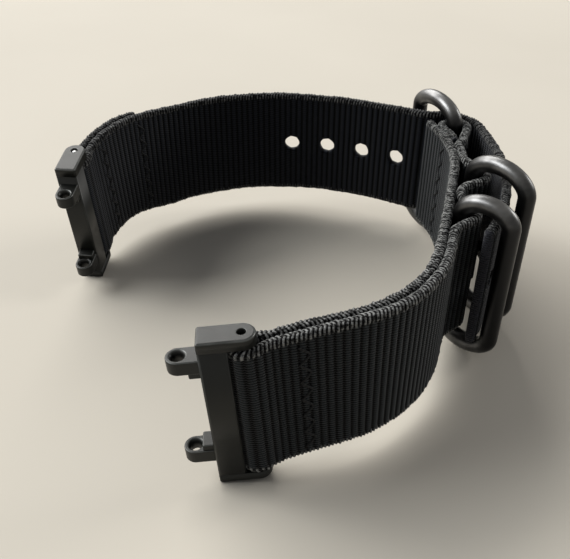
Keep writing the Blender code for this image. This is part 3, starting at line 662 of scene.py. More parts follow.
def relief(reach, section_y, edge):
    """Height of the cloth: cord ridges on the faces, slanting loops at the selvedge."""
    ridge = np.abs(np.sin(math.pi * reach / RIB)) ** RIDGE_POWER
    depth = np.abs(section_y) / HALF
    turns = reach / LOOP + LOOP_SLANT * depth
    loop = np.abs(np.sin(math.pi * turns)) ** LOOP_POWER
    level = JITTER[np.floor(turns).astype(int) % len(JITTER)]
    groove = PLAIT_GROOVE * np.exp(-(depth / GROOVE_SHARE) ** 2)
    face = RIB_RISE * (2 * ridge - 1)
    rim = LOOP_RISE * (2 * loop - 1 + level - groove)
    return face * (1 - edge) + rim * edge


def end_round(reach, length):
    """Share of the thickness left near a heat-cut end: a quarter ellipse over its last run."""
    near = np.clip(np.minimum(reach, length - reach) / END_RUN, 0, 1)
    return END_SHARE + (1 - END_SHARE) * np.sqrt(1 - (1 - near) ** 2)


print("relief over one rib, mm", in_mm(relief(np.linspace(0, RIB, 9), 0.0, 0.0)))

# %% Points of the cloth


def cloth_points(line, stand, section, reach, across):
    """Surface points at lengths along a line (rows) and columns of a section.

    A point is the line's point, raised by the section's height and the relief; none comes
    nearer to the spring bar than the room it needs to turn.
    """
    y, edge = section.y[None, :], section.edge[None, :]
    height = relief(reach, y, edge)
    through = (y + section.out_y[None, :] * height) * end_round(reach, line.length[-1])
    sway = SWAY * (np.sin(reach * LONG_SWAY) + np.sin(reach * SLOW_SWAY + 1.0))
    up = across + section.out_z[None, :] * height + sway * np.sign(across) * edge
    flat = line.place(reach, through)
    away = flat - stand.bar
    gap = np.linalg.norm(away, axis=-1, keepdims=True)
    flat = stand.bar + away * np.maximum(1, BAR_ROOM / gap)
    return stand.lean(np.concatenate([flat, up[..., None]], axis=-1))


print("thickness share at a cut end", end_round(0.0, 1.0))

# %% Columns of the two sections
WIDE_COLUMNS = 5
EDGE_COLUMNS = HALF_WIDTH - np.array((0.0017, 0.0014, 0.0011, 0.0009))
HOLED_COLUMNS = 8
SLOT_COLUMNS = 6
SLOT_HALF = 0.0020


def side_columns(start):
    """Columns from the middle part to the rounded edge, closer where the selvedge begins."""
    wide = start + np.arange(1, WIDE_COLUMNS + 1) / WIDE_COLUMNS * (EDGE_COLUMNS[0] - start)
    return np.concatenate([wide, EDGE_COLUMNS[1:], [HALF_WIDTH - HALF]])


holed = np.arange(-HOLED_COLUMNS, HOLED_COLUMNS + 1) * FINE_COLUMN
slotted = np.linspace(-SLOT_HALF, SLOT_HALF, SLOT_COLUMNS)
beside_holes, beside_slot = side_columns(holed[-1]), side_columns(SLOT_HALF)
long_section = Section(np.concatenate([-beside_holes[::-1], holed, beside_holes]))
short_section = Section(np.concatenate([-beside_slot[::-1], slotted, beside_slot]))
print("columns", long_section.columns, short_section.columns)

# %% [markdown]
# A punched hole in nylon is cut with a hot punch: its rim is round and a little sunk.
# A boolean cut would shred this fine mesh, so the grid itself makes room. Around each
# hole, a block of rows and columns is left out, its border is drawn to a circle, and the
# rows around it give way less and less. A row of faces joins the two sides through the
# cloth. The slot for the tongue is the same block with its border left straight.

# %% Openings in the cloth
HOLE_RADIUS = 0.0017
HOLE_ROWS, HOLE_COLUMNS = 10, 5
ROOM_ROWS, ROOM_COLUMNS = 14, 7
RIM_SINK = 0.00022
RIM_RUN = 0.0004
TINY = 1e-9
NEARLY = 1e-6


def make_room(reach, across, row, column):
    """Draw the border of a left-out block to a circle, fading out to the room's edge."""
    rows = slice(row - ROOM_ROWS, row + ROOM_ROWS + 1)
    columns = slice(column - ROOM_COLUMNS, column + ROOM_COLUMNS + 1)
    i = np.arange(-ROOM_ROWS, ROOM_ROWS + 1)[:, None] / ROOM_ROWS
    j = np.arange(-ROOM_COLUMNS, ROOM_COLUMNS + 1)[None, :] / ROOM_COLUMNS
    level = np.maximum(np.abs(i), np.abs(j))
    inner = HOLE_ROWS / ROOM_ROWS
    x = reach[rows, columns] - reach[row, column]
    z = across[rows, columns]
    far = np.hypot(x, z)
    border = far * inner / np.maximum(level, TINY)
    share = 1 - np.clip((level - inner) / (1 - inner), 0, 1)
    outside = level >= inner - NEARLY
    scale = 1 + np.where(outside, (HOLE_RADIUS - border) * share, 0) / np.maximum(far, TINY)
    reach[rows, columns] = reach[row, column] + x * scale
    across[rows, columns] = z * scale
    past_rim = (np.hypot(x * scale, z * scale) - HOLE_RADIUS) / RIM_RUN
    return rows, columns, RIM_SINK * np.where(outside, np.clip(1 - past_rim, 0, 1), 0) ** 2


print("hole radius, mm", in_mm(HOLE_RADIUS), "rows and columns", HOLE_ROWS, HOLE_COLUMNS)

# %% Faces round an opening


def border_loop(rows, columns):
    """Grid places round a block's border, one after the other."""
    r0, r1, c0, c1 = rows[0], rows[1], columns[0], columns[1]
    down, along = np.arange(r0, r1), np.arange(c0, c1)
    return np.concatenate([np.stack([down, np.full(len(down), c0)], axis=1),
                           np.stack([np.full(len(along), r1), along], axis=1),
                           np.stack([down[::-1] + 1, np.full(len(down), c1)], axis=1),
                           np.stack([np.full(len(along), r0), along[::-1] + 1], axis=1)])


def open_blocks(blocks, rows, section):
    """Faces of a closed cloth grid without the blocks, with walls through the cloth."""
    columns = section.columns
    keep = np.ones((rows - 1, columns), dtype=bool)
    walls = []
    last = 2 * section.face_columns + EDGE_STEPS - 2
    for (r0, r1), (c0, c1) in blocks:
        keep[r0:r1, c0:c1] = False
        keep[r0:r1, last - c1:last - c0] = False
        near = border_loop((r0, r1), (c0, c1))
        far = near.copy()
        far[:, 1] = last - near[:, 1]
        a = near[:, 0] * columns + near[:, 1]
        b = far[:, 0] * columns + far[:, 1]
        walls.append(np.stack([a, b, np.roll(b, -1), np.roll(a, -1)], axis=1))
    faces = grid_faces(rows, columns, False, True)[keep.ravel()]
    return [tuple(f) for f in np.concatenate([faces, *walls])] + end_caps(rows, columns)


def used_only(points, faces, *tables):
    """Drop the points that no face uses, from the points and from each table."""
    used = np.unique(np.concatenate([np.asarray(f) for f in faces]))
    renumber = np.full(len(points), -1)
    renumber[used] = np.arange(len(used))
    return [points[used], [tuple(renumber[list(f)]) for f in faces]] + [t[used] for t in tables]


print("steps round a hole", len(border_loop((0, 2 * HOLE_ROWS), (0, 2 * HOLE_COLUMNS))))

# %% [markdown]
# Nylon webbing is matt black with a faint shine along each cord. Three things make it
# read as cloth: painted shade darkens the valleys between cords and painted light makes the
# cord tops paler, the yarns that lie over the cords are a fine bump that steps by half a
# yarn from cord to cord and are painted paler on their tops as painted highlights, and loose
# fibres catch the light at a glancing angle, which is what the shader's sheen is for. The
# selvedge is paler and more speckled: partly rubbing, partly painted highlights on its loop
# tops, with painted shade in the gaps between the loops.

# %% Webbing and thread finishes
YARN = 0.00046
YARN_SLANT = 0.4
FIBRE_GRAIN = 5200.0
SPECK_GRAIN = 1500.0
CLOUD_GRAIN = 210.0
SEALED_RUN = 0.0006
SEALED_FADE = 0.0004
YARN_BUMP = 0.00013
CUT_END = (0.030, 0.031, 0.038)


def webbing_finish(name, dark, pale, rubbed_and_lit, fuzz, end):
    """Cords from the cloth's own map with painted shade in their valleys and painted light on
    their tops and yarns, yarns and fibres by bump, and a selvedge that is paler partly from
    rubbing and partly from painted highlights.
    """
    finish = Finish(name, Sheen_Weight=fuzz, Sheen_Roughness=0.45, Specular_IOR_Level=0.06)
    u, v = finish.cloth_map()
    turns = u * (1 / RIB)
    ridge = turns.wave()
    slope = (turns - turns.floor()) * YARN_SLANT
    yarn = (v * (1 / YARN) + turns.floor() * 0.5 + slope).wave()
    loop = (u * (1 / LOOP) + finish.stored("through").abs() * LOOP_SLANT).wave()
    place = finish.place()
    fibre = finish.noise(place, FIBRE_GRAIN, 3.0, 0.6)
    cloud = finish.noise(place, CLOUD_GRAIN)
    speck = finish.noise(place, SPECK_GRAIN, 2.0, 0.7).between(0.35, 0.65)
    # Painted light and shade: cord tops and the yarns on them paler, the valleys between cords
    # nearly black.
    weave = 0.08 + yarn.between(0.30, 0.90)
    lit = ridge.between(0.35, 0.95) * weave * (0.3 + fibre * 1.3)
    face = finish.mix(lit.least(1.0), dark, pale)
    # Painted highlights on the selvedge's loop tops and painted shade in the gaps between them,
    # mixed with fibre specks and rubbing.
    lit_loop_tops = loop.between(0.50, 0.95) * (0.05 + fibre * speck * 2.2) * (0.6 + cloud * 0.8)
    side = finish.mix(lit_loop_tops.least(1.0), dark, rubbed_and_lit)
    edge = v.abs().between(HALF_WIDTH - SELVEDGE, HALF_WIDTH - SELVEDGE + SELVEDGE_FADE)
    sealed = u.between(end - SEALED_RUN, end - SEALED_RUN + SEALED_FADE)
    cloth = finish.mix(edge, face, side)
    finish.feed("Base Color", finish.mix(sealed * fibre.between(0.30, 0.60), cloth, CUT_END))
    finish.feed("Roughness", 0.58 + fibre * 0.24)
    finish.bump(yarn.between(0.0, 0.9) * 0.9 + fibre * 0.5, YARN_BUMP, 0.9)
    return finish


# The two pieces are the same cloth. The long one, which lies mostly in shade at the back, gets a
# bluer tone and a selvedge half as pale: a painted shaded copy.
long_nylon = webbing_finish("nylon_webbing_long", (0.0006, 0.0008, 0.0014),
                            (0.0195, 0.0225, 0.0290), (0.120, 0.120, 0.116), 0.10,
                            long_cloth.length[-1])
short_nylon = webbing_finish("nylon_webbing_short", (0.0005, 0.0006, 0.0007),
                             (0.0212, 0.0258, 0.0288), (0.240, 0.242, 0.234), 0.11,
                             short_cloth.length[-1])


print("webbing finishes", long_nylon.material.name, short_nylon.material.name)

# %% Thread finish
PLY = 0.0007
PLY_BUMP = 0.00006


def thread_finish():
    """Waxed thread: two plies that wind round, with a soft shine."""
    finish = Finish("bonded_thread", Roughness=0.55, Specular_IOR_Level=0.2)
    u, v = finish.cloth_map()
    ply = (u * (1 / PLY) + v).wave()
    finish.feed("Base Color", finish.mix(ply, (0.002, 0.002, 0.003), (0.008, 0.009, 0.010)))
    finish.bump(ply, PLY_BUMP, 0.8)
    return finish


thread_black = thread_finish()
print("thread finish", thread_black.material.name)

# %% [markdown]
# Each piece of cloth is one grid. Its rows lie in equal steps, and one row lies exactly
# on the first hole, so that every hole gets the same ring of faces. The long piece has a
# hole drawn open at each place of the row, on both of its faces.

# %% From a line to a piece of cloth


def cloth_grid(line, section, anchor):
    """Rows in equal steps with one at the anchor, and each point's length and distance
    across."""
    inside = np.arange(anchor % ROW_PITCH, line.length[-1], ROW_PITCH)
    inside = inside[(inside > ROW_PITCH / 4) & (inside < line.length[-1] - ROW_PITCH / 4)]
    rows = np.concatenate([[0.0], inside, [line.length[-1]]])
    reach = np.repeat(rows[:, None], section.columns, axis=1)
    return rows, reach, np.repeat(section.z[None, :], len(rows), axis=0)


def sewn_piece(name, node, section, grid, points, blocks, finish):
    """Object from a cloth grid without its blocks, with its map and its depth at each edge."""
    rows, reach, across = grid
    faces = open_blocks(blocks, len(rows), section)
    maps = np.stack([reach, across], axis=-1).reshape(-1, 2)
    through = np.repeat(section.y[None, :] / HALF, len(rows), axis=0).ravel()
    points, faces, maps, through = used_only(points.reshape(-1, 3), faces, maps, through)
    piece = make_piece(name, points, faces, finish, maps=maps)
    store(piece.data, "through", through)
    print(name, len(rows), "rows", len(faces), "faces")
    return seat(piece, "strap", node)


print("rows apart, mm", ROW_PITCH * 1000)

# %% Long piece of webbing


def dress_long():
    """Cloth over the long line, sunk a little round each of its holes."""
    section, line = long_section, long_cloth
    grid = rows, reach, across = cloth_grid(line, section, hole_reach[0])
    sunk = np.zeros_like(reach)
    column = section.column(1, 0.0)
    blocks = []
    for centre in hole_reach:
        row = int(np.argmin(np.abs(rows - centre)))
        for face_column in (column, section.column(-1, 0.0)):
            room_rows, room_columns, sink = make_room(reach, across, row, face_column)
            sunk[room_rows, room_columns] = sink
        blocks.append(((row - HOLE_ROWS, row + HOLE_ROWS),
                       (column - HOLE_COLUMNS, column + HOLE_COLUMNS)))
    points = cloth_points(line, stand_a, section, reach, across)
    surface = line.place(reach, np.broadcast_to(section.y, reach.shape))
    inward = line.place(reach, np.zeros_like(reach)) - surface
    points[..., :2] += inward / HALF * sunk[..., None]
    return sewn_piece("long_webbing", "long_strap_webbing", section, grid, points, blocks,
                      long_nylon)


dress_long()

# %% [markdown]
# The short piece is the same cloth. Its outer layer has one slot, over the buckle's bar,
# through which the tongue's arm comes out. The slot is a block of rows left out of the
# grid, so its ends are straight cuts.

# %% Short piece of webbing
SLOT_LENGTH = 0.0098


def dress_short():
    """Cloth over the short line, with the tongue's slot in its outer layer."""
    section, line = short_section, short_cloth
    grid = rows, reach, across = cloth_grid(line, section, 0.0)
    heading = np.interp(BUCKLE_STATION, liner.stations, liner.headings)
    along = np.array((math.cos(heading), math.sin(heading)))
    away = line.read(line.points, rows) - liner.at(BUCKLE_STATION, BUCKLE_RISE)
    outer = rows > line.length[-1] / 2
    near = np.linalg.norm(away, axis=1) < SLOT_LENGTH
    cut_rows = np.flatnonzero((np.abs(away @ along) < SLOT_LENGTH / 2) & outer & near)
    block = ((cut_rows[0], cut_rows[-1]),
             (section.column(1, -SLOT_HALF), section.column(1, SLOT_HALF)))
    print("slot rows", *block[0])
    return sewn_piece("short_webbing", "short_strap_webbing", section, grid,
                      cloth_points(line, stand_b, section, reach, across), [block],
                      short_nylon)


dress_short()

# %% [markdown]
# The stitching is a zigzag across the webbing. Each stitch lies on the cloth and dives
# into it where the needle went, so the thread is a tube along a zigzag that sinks at its
# corners. Every row has a thread on each side of the layers, as a lockstitch has.

# %% Tubes and stitches
THREAD = 0.0002
THREAD_SIDES = 8
STITCHES = 12
STITCH_STEPS = 10
STITCH_SWING = 0.0009
STITCH_ROW = WIDTH - 0.0040
STITCH_GAP = 0.0001
STITCH_SINK = 0.00014
CORNER_SOFTNESS = 0.97
CORNER_POWER = 6
CORNER_SINK_SHARE = 1.4
LIFT = THICK / 2 + STITCH_GAP + THREAD
LONG_NEAR_ROW = 0.0075
LONG_FAR_ROW = 0.0195
SHORT_ROW = 0.0080
KEEPER_ROW_SETBACK = 0.0068
FLAP_ROW_SETBACK = 0.0060


def tube(centres, sideways, radius, sides, closed):
    """Round tube: circles of a radius about each centre, square to the path, and their map.

    A circle is cos(angle) * side + sin(angle) * up, where side is square to the path and to
    the sideways direction.
    """
    if closed:
        ahead = np.roll(centres, -1, axis=0) - np.roll(centres, 1, axis=0)
    else:
        ahead = np.gradient(centres, axis=0)
    ahead /= np.linalg.norm(ahead, axis=1)[:, None]
    side = np.cross(sideways, ahead)
    side /= np.linalg.norm(side, axis=1)[:, None]
    up = np.cross(ahead, side)
    angle = TWO_PI * np.arange(sides) / sides
    ring = (np.cos(angle)[None, :, None] * side[:, None, :]
            + np.sin(angle)[None, :, None] * up[:, None, :])
    reach = np.concatenate([[0], np.cumsum(np.linalg.norm(np.diff(centres, axis=0), axis=1))])
    maps = np.stack(np.broadcast_arrays(reach[:, None], angle[None, :] / TWO_PI), axis=-1)
    return centres[:, None, :] + radius * ring, maps


print("stitch across, mm", in_mm(STITCH_ROW / STITCHES))

# %% One thread of a row


def stitch_row(name, node, run, stand, station, rise):
    """One thread: a zigzag with rounded corners that sinks into the cloth at each.

    Across the webbing it runs evenly; along it swings by arcsin(sin(pi * stitches)).
    """
    share = np.linspace(0, 1, STITCHES * STITCH_STEPS + 1)
    wave = np.sin(math.pi * (share * STITCHES - 0.5)) * CORNER_SOFTNESS
    swing = np.arcsin(wave) / (math.pi / 2)
    here = station + STITCH_SWING * swing
    sink = STITCH_SINK + np.abs(swing) ** CORNER_POWER * THREAD * CORNER_SINK_SHARE
    lift = rise(here)
    flat = run.at(here, lift - np.sign(lift) * sink)
    centres = stand.lean(np.column_stack([flat, (share - 0.5) * STITCH_ROW]))
    points, maps = tube(centres, (1.0, 0, 0), THREAD, THREAD_SIDES, False)
    piece = make_piece(name, points, capped(len(centres), THREAD_SIDES), thread_black, maps=maps)
    return seat(piece, "strap", node)


def second_layer(stations):
    """Height of the long piece's outer layer over its inner one."""
    return np.full(len(stations), PITCH_LAYERS)


def over(layer):
    """Height of a thread that lies on a layer, which may slope."""
    def rise(stations):
        step = layer(stations + STITCH_SWING) - layer(stations - STITCH_SWING)
        return layer(stations) + LIFT * np.hypot(1.0, step / (2 * STITCH_SWING))
    return rise


print("thread over two layers, mm", in_mm(over(second_layer)(np.zeros(1))))

# %% Rows of stitches
BETWEEN_RINGS = (KEEPER_STATION + BUCKLE_STATION) / 2
ROWS = (("long_end_near_row", long_run, stand_a, LONG_NEAR_ROW, second_layer),
        ("long_end_far_row", long_run, stand_a, LONG_FAR_ROW, second_layer),
        ("short_end_row", liner, stand_b, SHORT_ROW, outer_rise),
        ("keeper_row", liner, stand_b, KEEPER_STATION - KEEPER_ROW_SETBACK, outer_rise),
        ("buckle_row", liner, stand_b, BETWEEN_RINGS, outer_rise),
        ("flap_fold_row", liner, stand_b, FLAP_STATION - FLAP_ROW_SETBACK, outer_rise))
for row_name, run, stand, station, layer in ROWS:
    for side, rise in (("top", over(layer)), ("under", lambda s: np.full(len(s), -LIFT))):
        stitch_row("%s_%s_stitches" % (row_name, side), "%s_%s_thread" % (row_name, side),
                   run, stand, station, rise)
print("stitched rows", len(ROWS))

# %% [markdown]
# The rings are steel wire bent to a long oval and blackened. A mesh ring with eight sides
# would show flats in its highlights, so each is a tube with many sides along two straight
# bars and two half ellipses. The black is a thin hard coat: dark, mirror-like at a glance
# and satin face on. The bends are painted a little paler: partly rubbing where they stand
# out of the webbing, partly a painted highlight on the bends.

# %% Coated metal finishes
COAT_CLOUD = 260.0
COAT_BUMP = 0.000012


def coated_metal(name, metallic, gloss, colour, worn_and_lit, roughness, grain):
    """Black coat over metal: cloudy roughness, fine grain, and paler places, partly wear and
    partly painted highlight.
    """
    finish = Finish(name, Metallic=metallic, Specular_IOR_Level=gloss)
    place = finish.place()
    cloud = finish.noise(place, COAT_CLOUD, 3.0, 0.55)
    fine = finish.noise(place, grain, 2.0, 0.6)
    wear_and_highlight = finish.stored("wear_and_highlight")
    shown = (wear_and_highlight * (0.35 + cloud * 0.9)).between(0.30, 0.95)
    finish.feed("Base Color", finish.mix(shown, colour, worn_and_lit))
    finish.feed("Roughness", roughness + cloud * 0.10 + fine * 0.06 - shown * 0.08)
    finish.bump(fine, COAT_BUMP, 0.5)
    return finish


ring_black = coated_metal("blackened_steel", 1.00, 0.50, (0.028, 0.028, 0.029),
                          (0.19, 0.19, 0.19), 0.30, 3200.0)
anodised = coated_metal("anodised_aluminium", 0.25, 0.42, (0.0045, 0.0052, 0.0042),
                        (0.10, 0.105, 0.10), 0.35, 5200.0)
print("coated metals", ring_black.material.name, anodised.material.name)

# %% Outline of a ring
RING_END = 48
RING_BAR = 24
RING_SIDES = 32
RUB_AND_LIT_LEAD_SHARE = 0.3
RUBBED_AND_LIT_SHARE = 0.8


def oval(span, rise):
    """Closed line: a half ellipse over each end and a straight bar on each side, (x, z)."""
    half = span / 2
    turn = math.pi * (1 - np.arange(RING_END) / RING_END)
    over = np.stack([half + half * np.cos(turn), RING_BAR_HALF + rise * np.sin(turn)], axis=1)
    down = np.linspace(RING_BAR_HALF, -RING_BAR_HALF, RING_BAR, endpoint=False)
    outer_bar = np.stack([np.full(RING_BAR, span), down], axis=1)
    under = (span, 0) - over
    inner_bar = np.stack([np.zeros(RING_BAR), -down], axis=1)
    return np.concatenate([over, outer_bar, under, inner_bar])


print("points along a ring", len(oval(BUCKLE_SPAN, RING_RISE)))

# %% The three rings


def dress_ring(name, node, span, rise, at, heading):
    """Ring: a tube along its oval, stood at its inner bar and turned to its heading.

    Its coat is painted paler where it bends, by the share of the end's rise past the bar:
    partly rubbing, partly a painted highlight.
    """
    plan = oval(span, rise)
    ahead = np.array((math.cos(heading), math.sin(heading), 0))
    centres = (*at, MID_Z) + plan[:, :1] * ahead + plan[:, 1:] * (0, 0, 1.0)
    points, _ = tube(centres, (-ahead[1], ahead[0], 0), WIRE, RING_SIDES, True)
    faces = grid_faces(len(centres), RING_SIDES, True, True)
    piece = make_piece(name, points, faces, ring_black)
    # Painted highlight on both bends, mixed with rubbing: the coat is paler past the bars.
    past_bar = (np.abs(plan[:, 1]) - RING_BAR_HALF) / rise
    rubbed_and_lit = np.clip(past_bar + RUB_AND_LIT_LEAD_SHARE, 0, 1) * RUBBED_AND_LIT_SHARE
    store(piece.data, "wear_and_highlight", np.repeat(rubbed_and_lit[:, None], RING_SIDES, axis=1))
    return seat(piece, node, node)


dress_ring("buckle_ring_wire", "buckle_ring", BUCKLE_SPAN, RING_RISE, buckle_at,
           buckle_heading)
dress_ring("keeper_ring_wire", "keeper_ring", KEEPER_SPAN, KEEPER_RISE, keeper_at,
           keeper_heading)
dress_ring("flap_ring_wire", "flap_ring", FLAP_SPAN, FLAP_END_RISE, flap_at, flap_heading)

# %% [markdown]
# The end pieces are machined aluminium. Their look comes from crisp flats with a narrow
# rounded edge that shows as a thin pale line, painted paler as well: partly edge wear,
# partly a painted highlight. Each is several closed shells in one mesh: a spine hollowed
# behind for the fold of webbing, ears and prong eyes made as plates with a round hole, and
# the thick steps beside the spine. Flat faces get a second row of points close inside each
# rounded edge, so that smooth shading leaves them flat.

# %% End piece shapes
EAR_GAP = 0.0003
EAR_FACE = HALF_WIDTH + EAR_GAP
EAR_THICK = 0.0017
SPINE_HALF_HEIGHT = EAR_FACE + EAR_THICK
SPINE_DEPTH = 0.0042
SPINE_HALF_SIDE = 0.0020
SETBACK = 0.0062
SCOOP_GAP = 0.0003
SCOOP = LOOP_RADIUS + THICK / 2 + SCOOP_GAP
SCOOP_STEPS = 21
HOLD = 0.00003
HOLD_SHARE = 0.04
HELD_SIDE = 0.0006
EDGE = 0.00036
CORNER_STEPS = 4
NOSE_STEPS = 36
FAR_CORNER_STEPS = 5
STRAIGHT = 12
LIP_WEAR_AND_HIGHLIGHT = 0.6


def shell(points, faces, wear_and_highlight):
    """One closed shell as plain arrays."""
    return points.reshape(-1, 3), faces, np.asarray(wear_and_highlight, dtype=float).ravel()


def join_shells(shells):
    """Several shells in one mesh."""
    points, faces, wear_and_highlight, first = [], [], [], 0
    for part_points, part_faces, part_wear_and_highlight in shells:
        points.append(part_points)
        faces += [tuple(np.asarray(f) + first) for f in part_faces]
        wear_and_highlight.append(part_wear_and_highlight)
        first += len(part_points)
    return np.concatenate(points), faces, np.concatenate(wear_and_highlight)


print("end piece height, scoop radius, mm", in_mm(2 * SPINE_HALF_HEIGHT), in_mm(SCOOP))

# %% Rounded edges and blocks


def quarter(steps):
    """Angles of a quarter turn."""
    return np.linspace(0, math.pi / 2, steps + 1)


def edge_levels(low, high, bevel, steps=CORNER_STEPS, square=0):
    """Heights, insets and the weight of painted highlight and wear of a rounded edge at both ends
    of a height, with hold rows;
    square is -1 where the low end has no rounding and +1 where the high end has none."""
    turn = quarter(steps)
    # The third row weighs painted highlight and wear, most halfway round the edge.
    rounded = (np.append(bevel * (1 - np.cos(turn)), bevel + HOLD),
               np.append(bevel * (1 - np.sin(turn)), 0), np.append(np.sin(2 * turn), 0))
    bare = (np.zeros(1),) * 3
    below = bare if square < 0 else rounded
    above = [values[::-1] for values in (bare if square > 0 else rounded)]
    return (np.concatenate([low + below[0], high - above[0]]),
            np.concatenate([below[1], above[1]]), np.concatenate([below[2], above[2]]))


def rounded_rectangle(x0, x1, y0, y1, corner, inset):
    """Counter-clockwise outline of a rectangle with round corners, drawn in by an inset."""
    made = []
    for cx, cy, start in ((x1, y1, 0), (x0, y1, 1), (x0, y0, 2), (x1, y0, 3)):
        angle = quarter(CORNER_STEPS) + start * math.pi / 2
        sx, sy = (1 if cx == x1 else -1), (1 if cy == y1 else -1)
        made.append(np.stack([cx - sx * corner + (corner - inset) * np.cos(angle),
                              cy - sy * corner + (corner - inset) * np.sin(angle)], axis=1))
    return np.concatenate(made)


def held(outline):
    """Add a point close to each end of every long straight side."""
    made = []
    for k in range(len(outline)):
        here, after = outline[k], outline[(k + 1) % len(outline)]
        made.append(here)
        gap = np.linalg.norm(after - here)
        if gap > HELD_SIDE:
            share = HOLD / gap
            made += [here + (after - here) * share, here + (after - here) * (1 - share)]
    return np.array(made)


def risen(outlines, heights):
    """Rows of points: each outline at its own height."""
    return np.stack([np.column_stack([o, np.full(len(o), h)]) for o, h in zip(outlines, heights)])


def rounded_block(x0, x1, y0, y1, low, high, bevel):
    """Box with every edge rounded: one rounded outline per height."""
    z, pull, worn_and_lit = edge_levels(low, high, bevel)
    z, worn_and_lit = np.concatenate([[low], z, [high]]), np.concatenate([[0], worn_and_lit, [0]])
    pull = np.concatenate([[bevel + HOLD], pull, [bevel + HOLD]])
    corner = bevel + 2 * HOLD
    outlines = [held(rounded_rectangle(x0, x1, y0, y1, corner, inset)) for inset in pull]
    count = len(outlines[0])
    wear_and_highlight = np.repeat(worn_and_lit[:, None], count, axis=1)
    return shell(risen(outlines, z), capped(len(z), count), wear_and_highlight)


print("levels of an edge, mm", in_mm(edge_levels(0, EAR_THICK, EDGE, square=1)[0]))

# %% Plates with a hole


def plate_outline(radius, far, corner, inset, facing):
    """Half circle about the origin and straight sides to a flat end with round corners;
    facing is +1 where the half circle looks to +X."""
    turn = np.linspace(-math.pi / 2, math.pi / 2, NOSE_STEPS + 1)
    nose = (radius - inset) * np.stack([np.cos(turn), np.sin(turn)], axis=1)
    turn = quarter(FAR_CORNER_STEPS)
    cosine, sine = (corner - inset) * np.cos(turn), (corner - inset) * np.sin(turn)
    far_up = np.stack([corner - far - sine, radius - corner + cosine], axis=1)
    far_down = far_up[::-1] * (1, -1)
    up = np.linspace(0, corner - far, STRAIGHT + 2)[1:-1]
    wide = np.full(STRAIGHT, radius - inset)
    flat = np.linspace(radius - corner, corner - radius, STRAIGHT + 2)[1:-1]
    outline = np.concatenate([nose, np.stack([up, wide], axis=1), far_up,
                              np.stack([inset - far + 0 * flat, flat], axis=1), far_down,
                              np.stack([up[::-1], -wide], axis=1)])
    return outline if facing > 0 else -outline


def plate(centre, radius, far, corner, levels, hole, sink, facing):
    """Plate with a round hole, as rings of points: up the outside, in over the top with a
    ring close to each rim, down the countersunk hole and out under the bottom."""
    z, pull, worn_and_lit = levels
    low, high = z[0], z[-1]
    rings = [plate_outline(radius, far, corner, inset, facing) for inset in pull]
    flat = plate_outline(radius, far, corner, 0, facing)
    unit = flat / np.linalg.norm(flat, axis=1)[:, None]
    wide, deep = sink
    rim = unit * (wide + HOLD)
    inside = [ring + (rim - ring) * HOLD_SHARE for ring in (rings[-1], rings[0])]
    rings += [inside[0], rim, unit * wide, unit * hole, unit * hole, unit * wide, rim, inside[1]]
    heights = np.concatenate([z, [high] * 3, [high - deep, low + deep], [low] * 3])
    # The rims of the countersunk hole are painted paler: partly wear, partly a painted highlight.
    wear_and_highlight = np.concatenate([worn_and_lit, [0, 0, 1, 0, 0, 1, 0, 0]])
    count = len(flat)
    points = risen([ring + centre for ring in rings], heights)
    return shell(points, grid_faces(len(heights), count, True, True),
                 np.repeat(wear_and_highlight[:, None], count, axis=1))


print("points round an ear", len(plate_outline(SPINE_HALF_SIDE, SETBACK, EDGE, 0, 1)))

# %% Spine


def spine():
    """Spine between the ears: a rounded rectangle whose rear side is hollow."""
    front, rear = -SETBACK, -SETBACK + SPINE_DEPTH
    lip = math.sqrt(SCOOP ** 2 - rear ** 2)
    y = np.linspace(-lip, lip, SCOOP_STEPS)
    hollow = np.stack([-np.sqrt(SCOOP ** 2 - y ** 2), y], axis=1)
    box = rounded_rectangle(front, rear, -SPINE_HALF_SIDE, SPINE_HALF_SIDE, EDGE, 0)
    outline = held(np.concatenate([box, hollow]))
    points = risen([outline, outline], (-EAR_FACE, EAR_FACE))
    far_side = np.abs(outline[:, 1]) > SPINE_HALF_SIDE - EDGE
    corner = far_side & (np.abs(outline[:, 0] - (front + rear) / 2) > SPINE_DEPTH / 2 - EDGE)
    # The spine's side corners are painted paler: partly wear, partly a painted highlight line.
    wear_and_highlight = np.repeat((LIP_WEAR_AND_HIGHLIGHT * corner)[None], 2, axis=0)
    return shell(points, capped(2, len(outline)), wear_and_highlight)


print("points of the spine", len(spine()[0]))

# %% End pieces
PRONG_INSET = 0.0051
PRONG_HALF_PITCH = SPINE_HALF_HEIGHT - PRONG_INSET
PRONG_RISE = 0.0006
PRONG_REACH = 0.0029
PRONG_RADIUS = 0.0017
PRONG_HALF = 0.00115
PRONG_STEP = 0.0001
PRONG_BURY = 0.0010
PRONG_EDGE = 0.0002
PRONG_EDGE_STEPS = 3
PRONG_HOLE = 0.0009
PRONG_SINK = 0.0013
PRONG_SINK_DEPTH = 0.0004
ARM_HALF = 0.0016
ARM_SIDE = 0.0015
ARM_REACH = 0.0017
EAR_HOLE = 0.00065
EAR_SINK = 0.00073


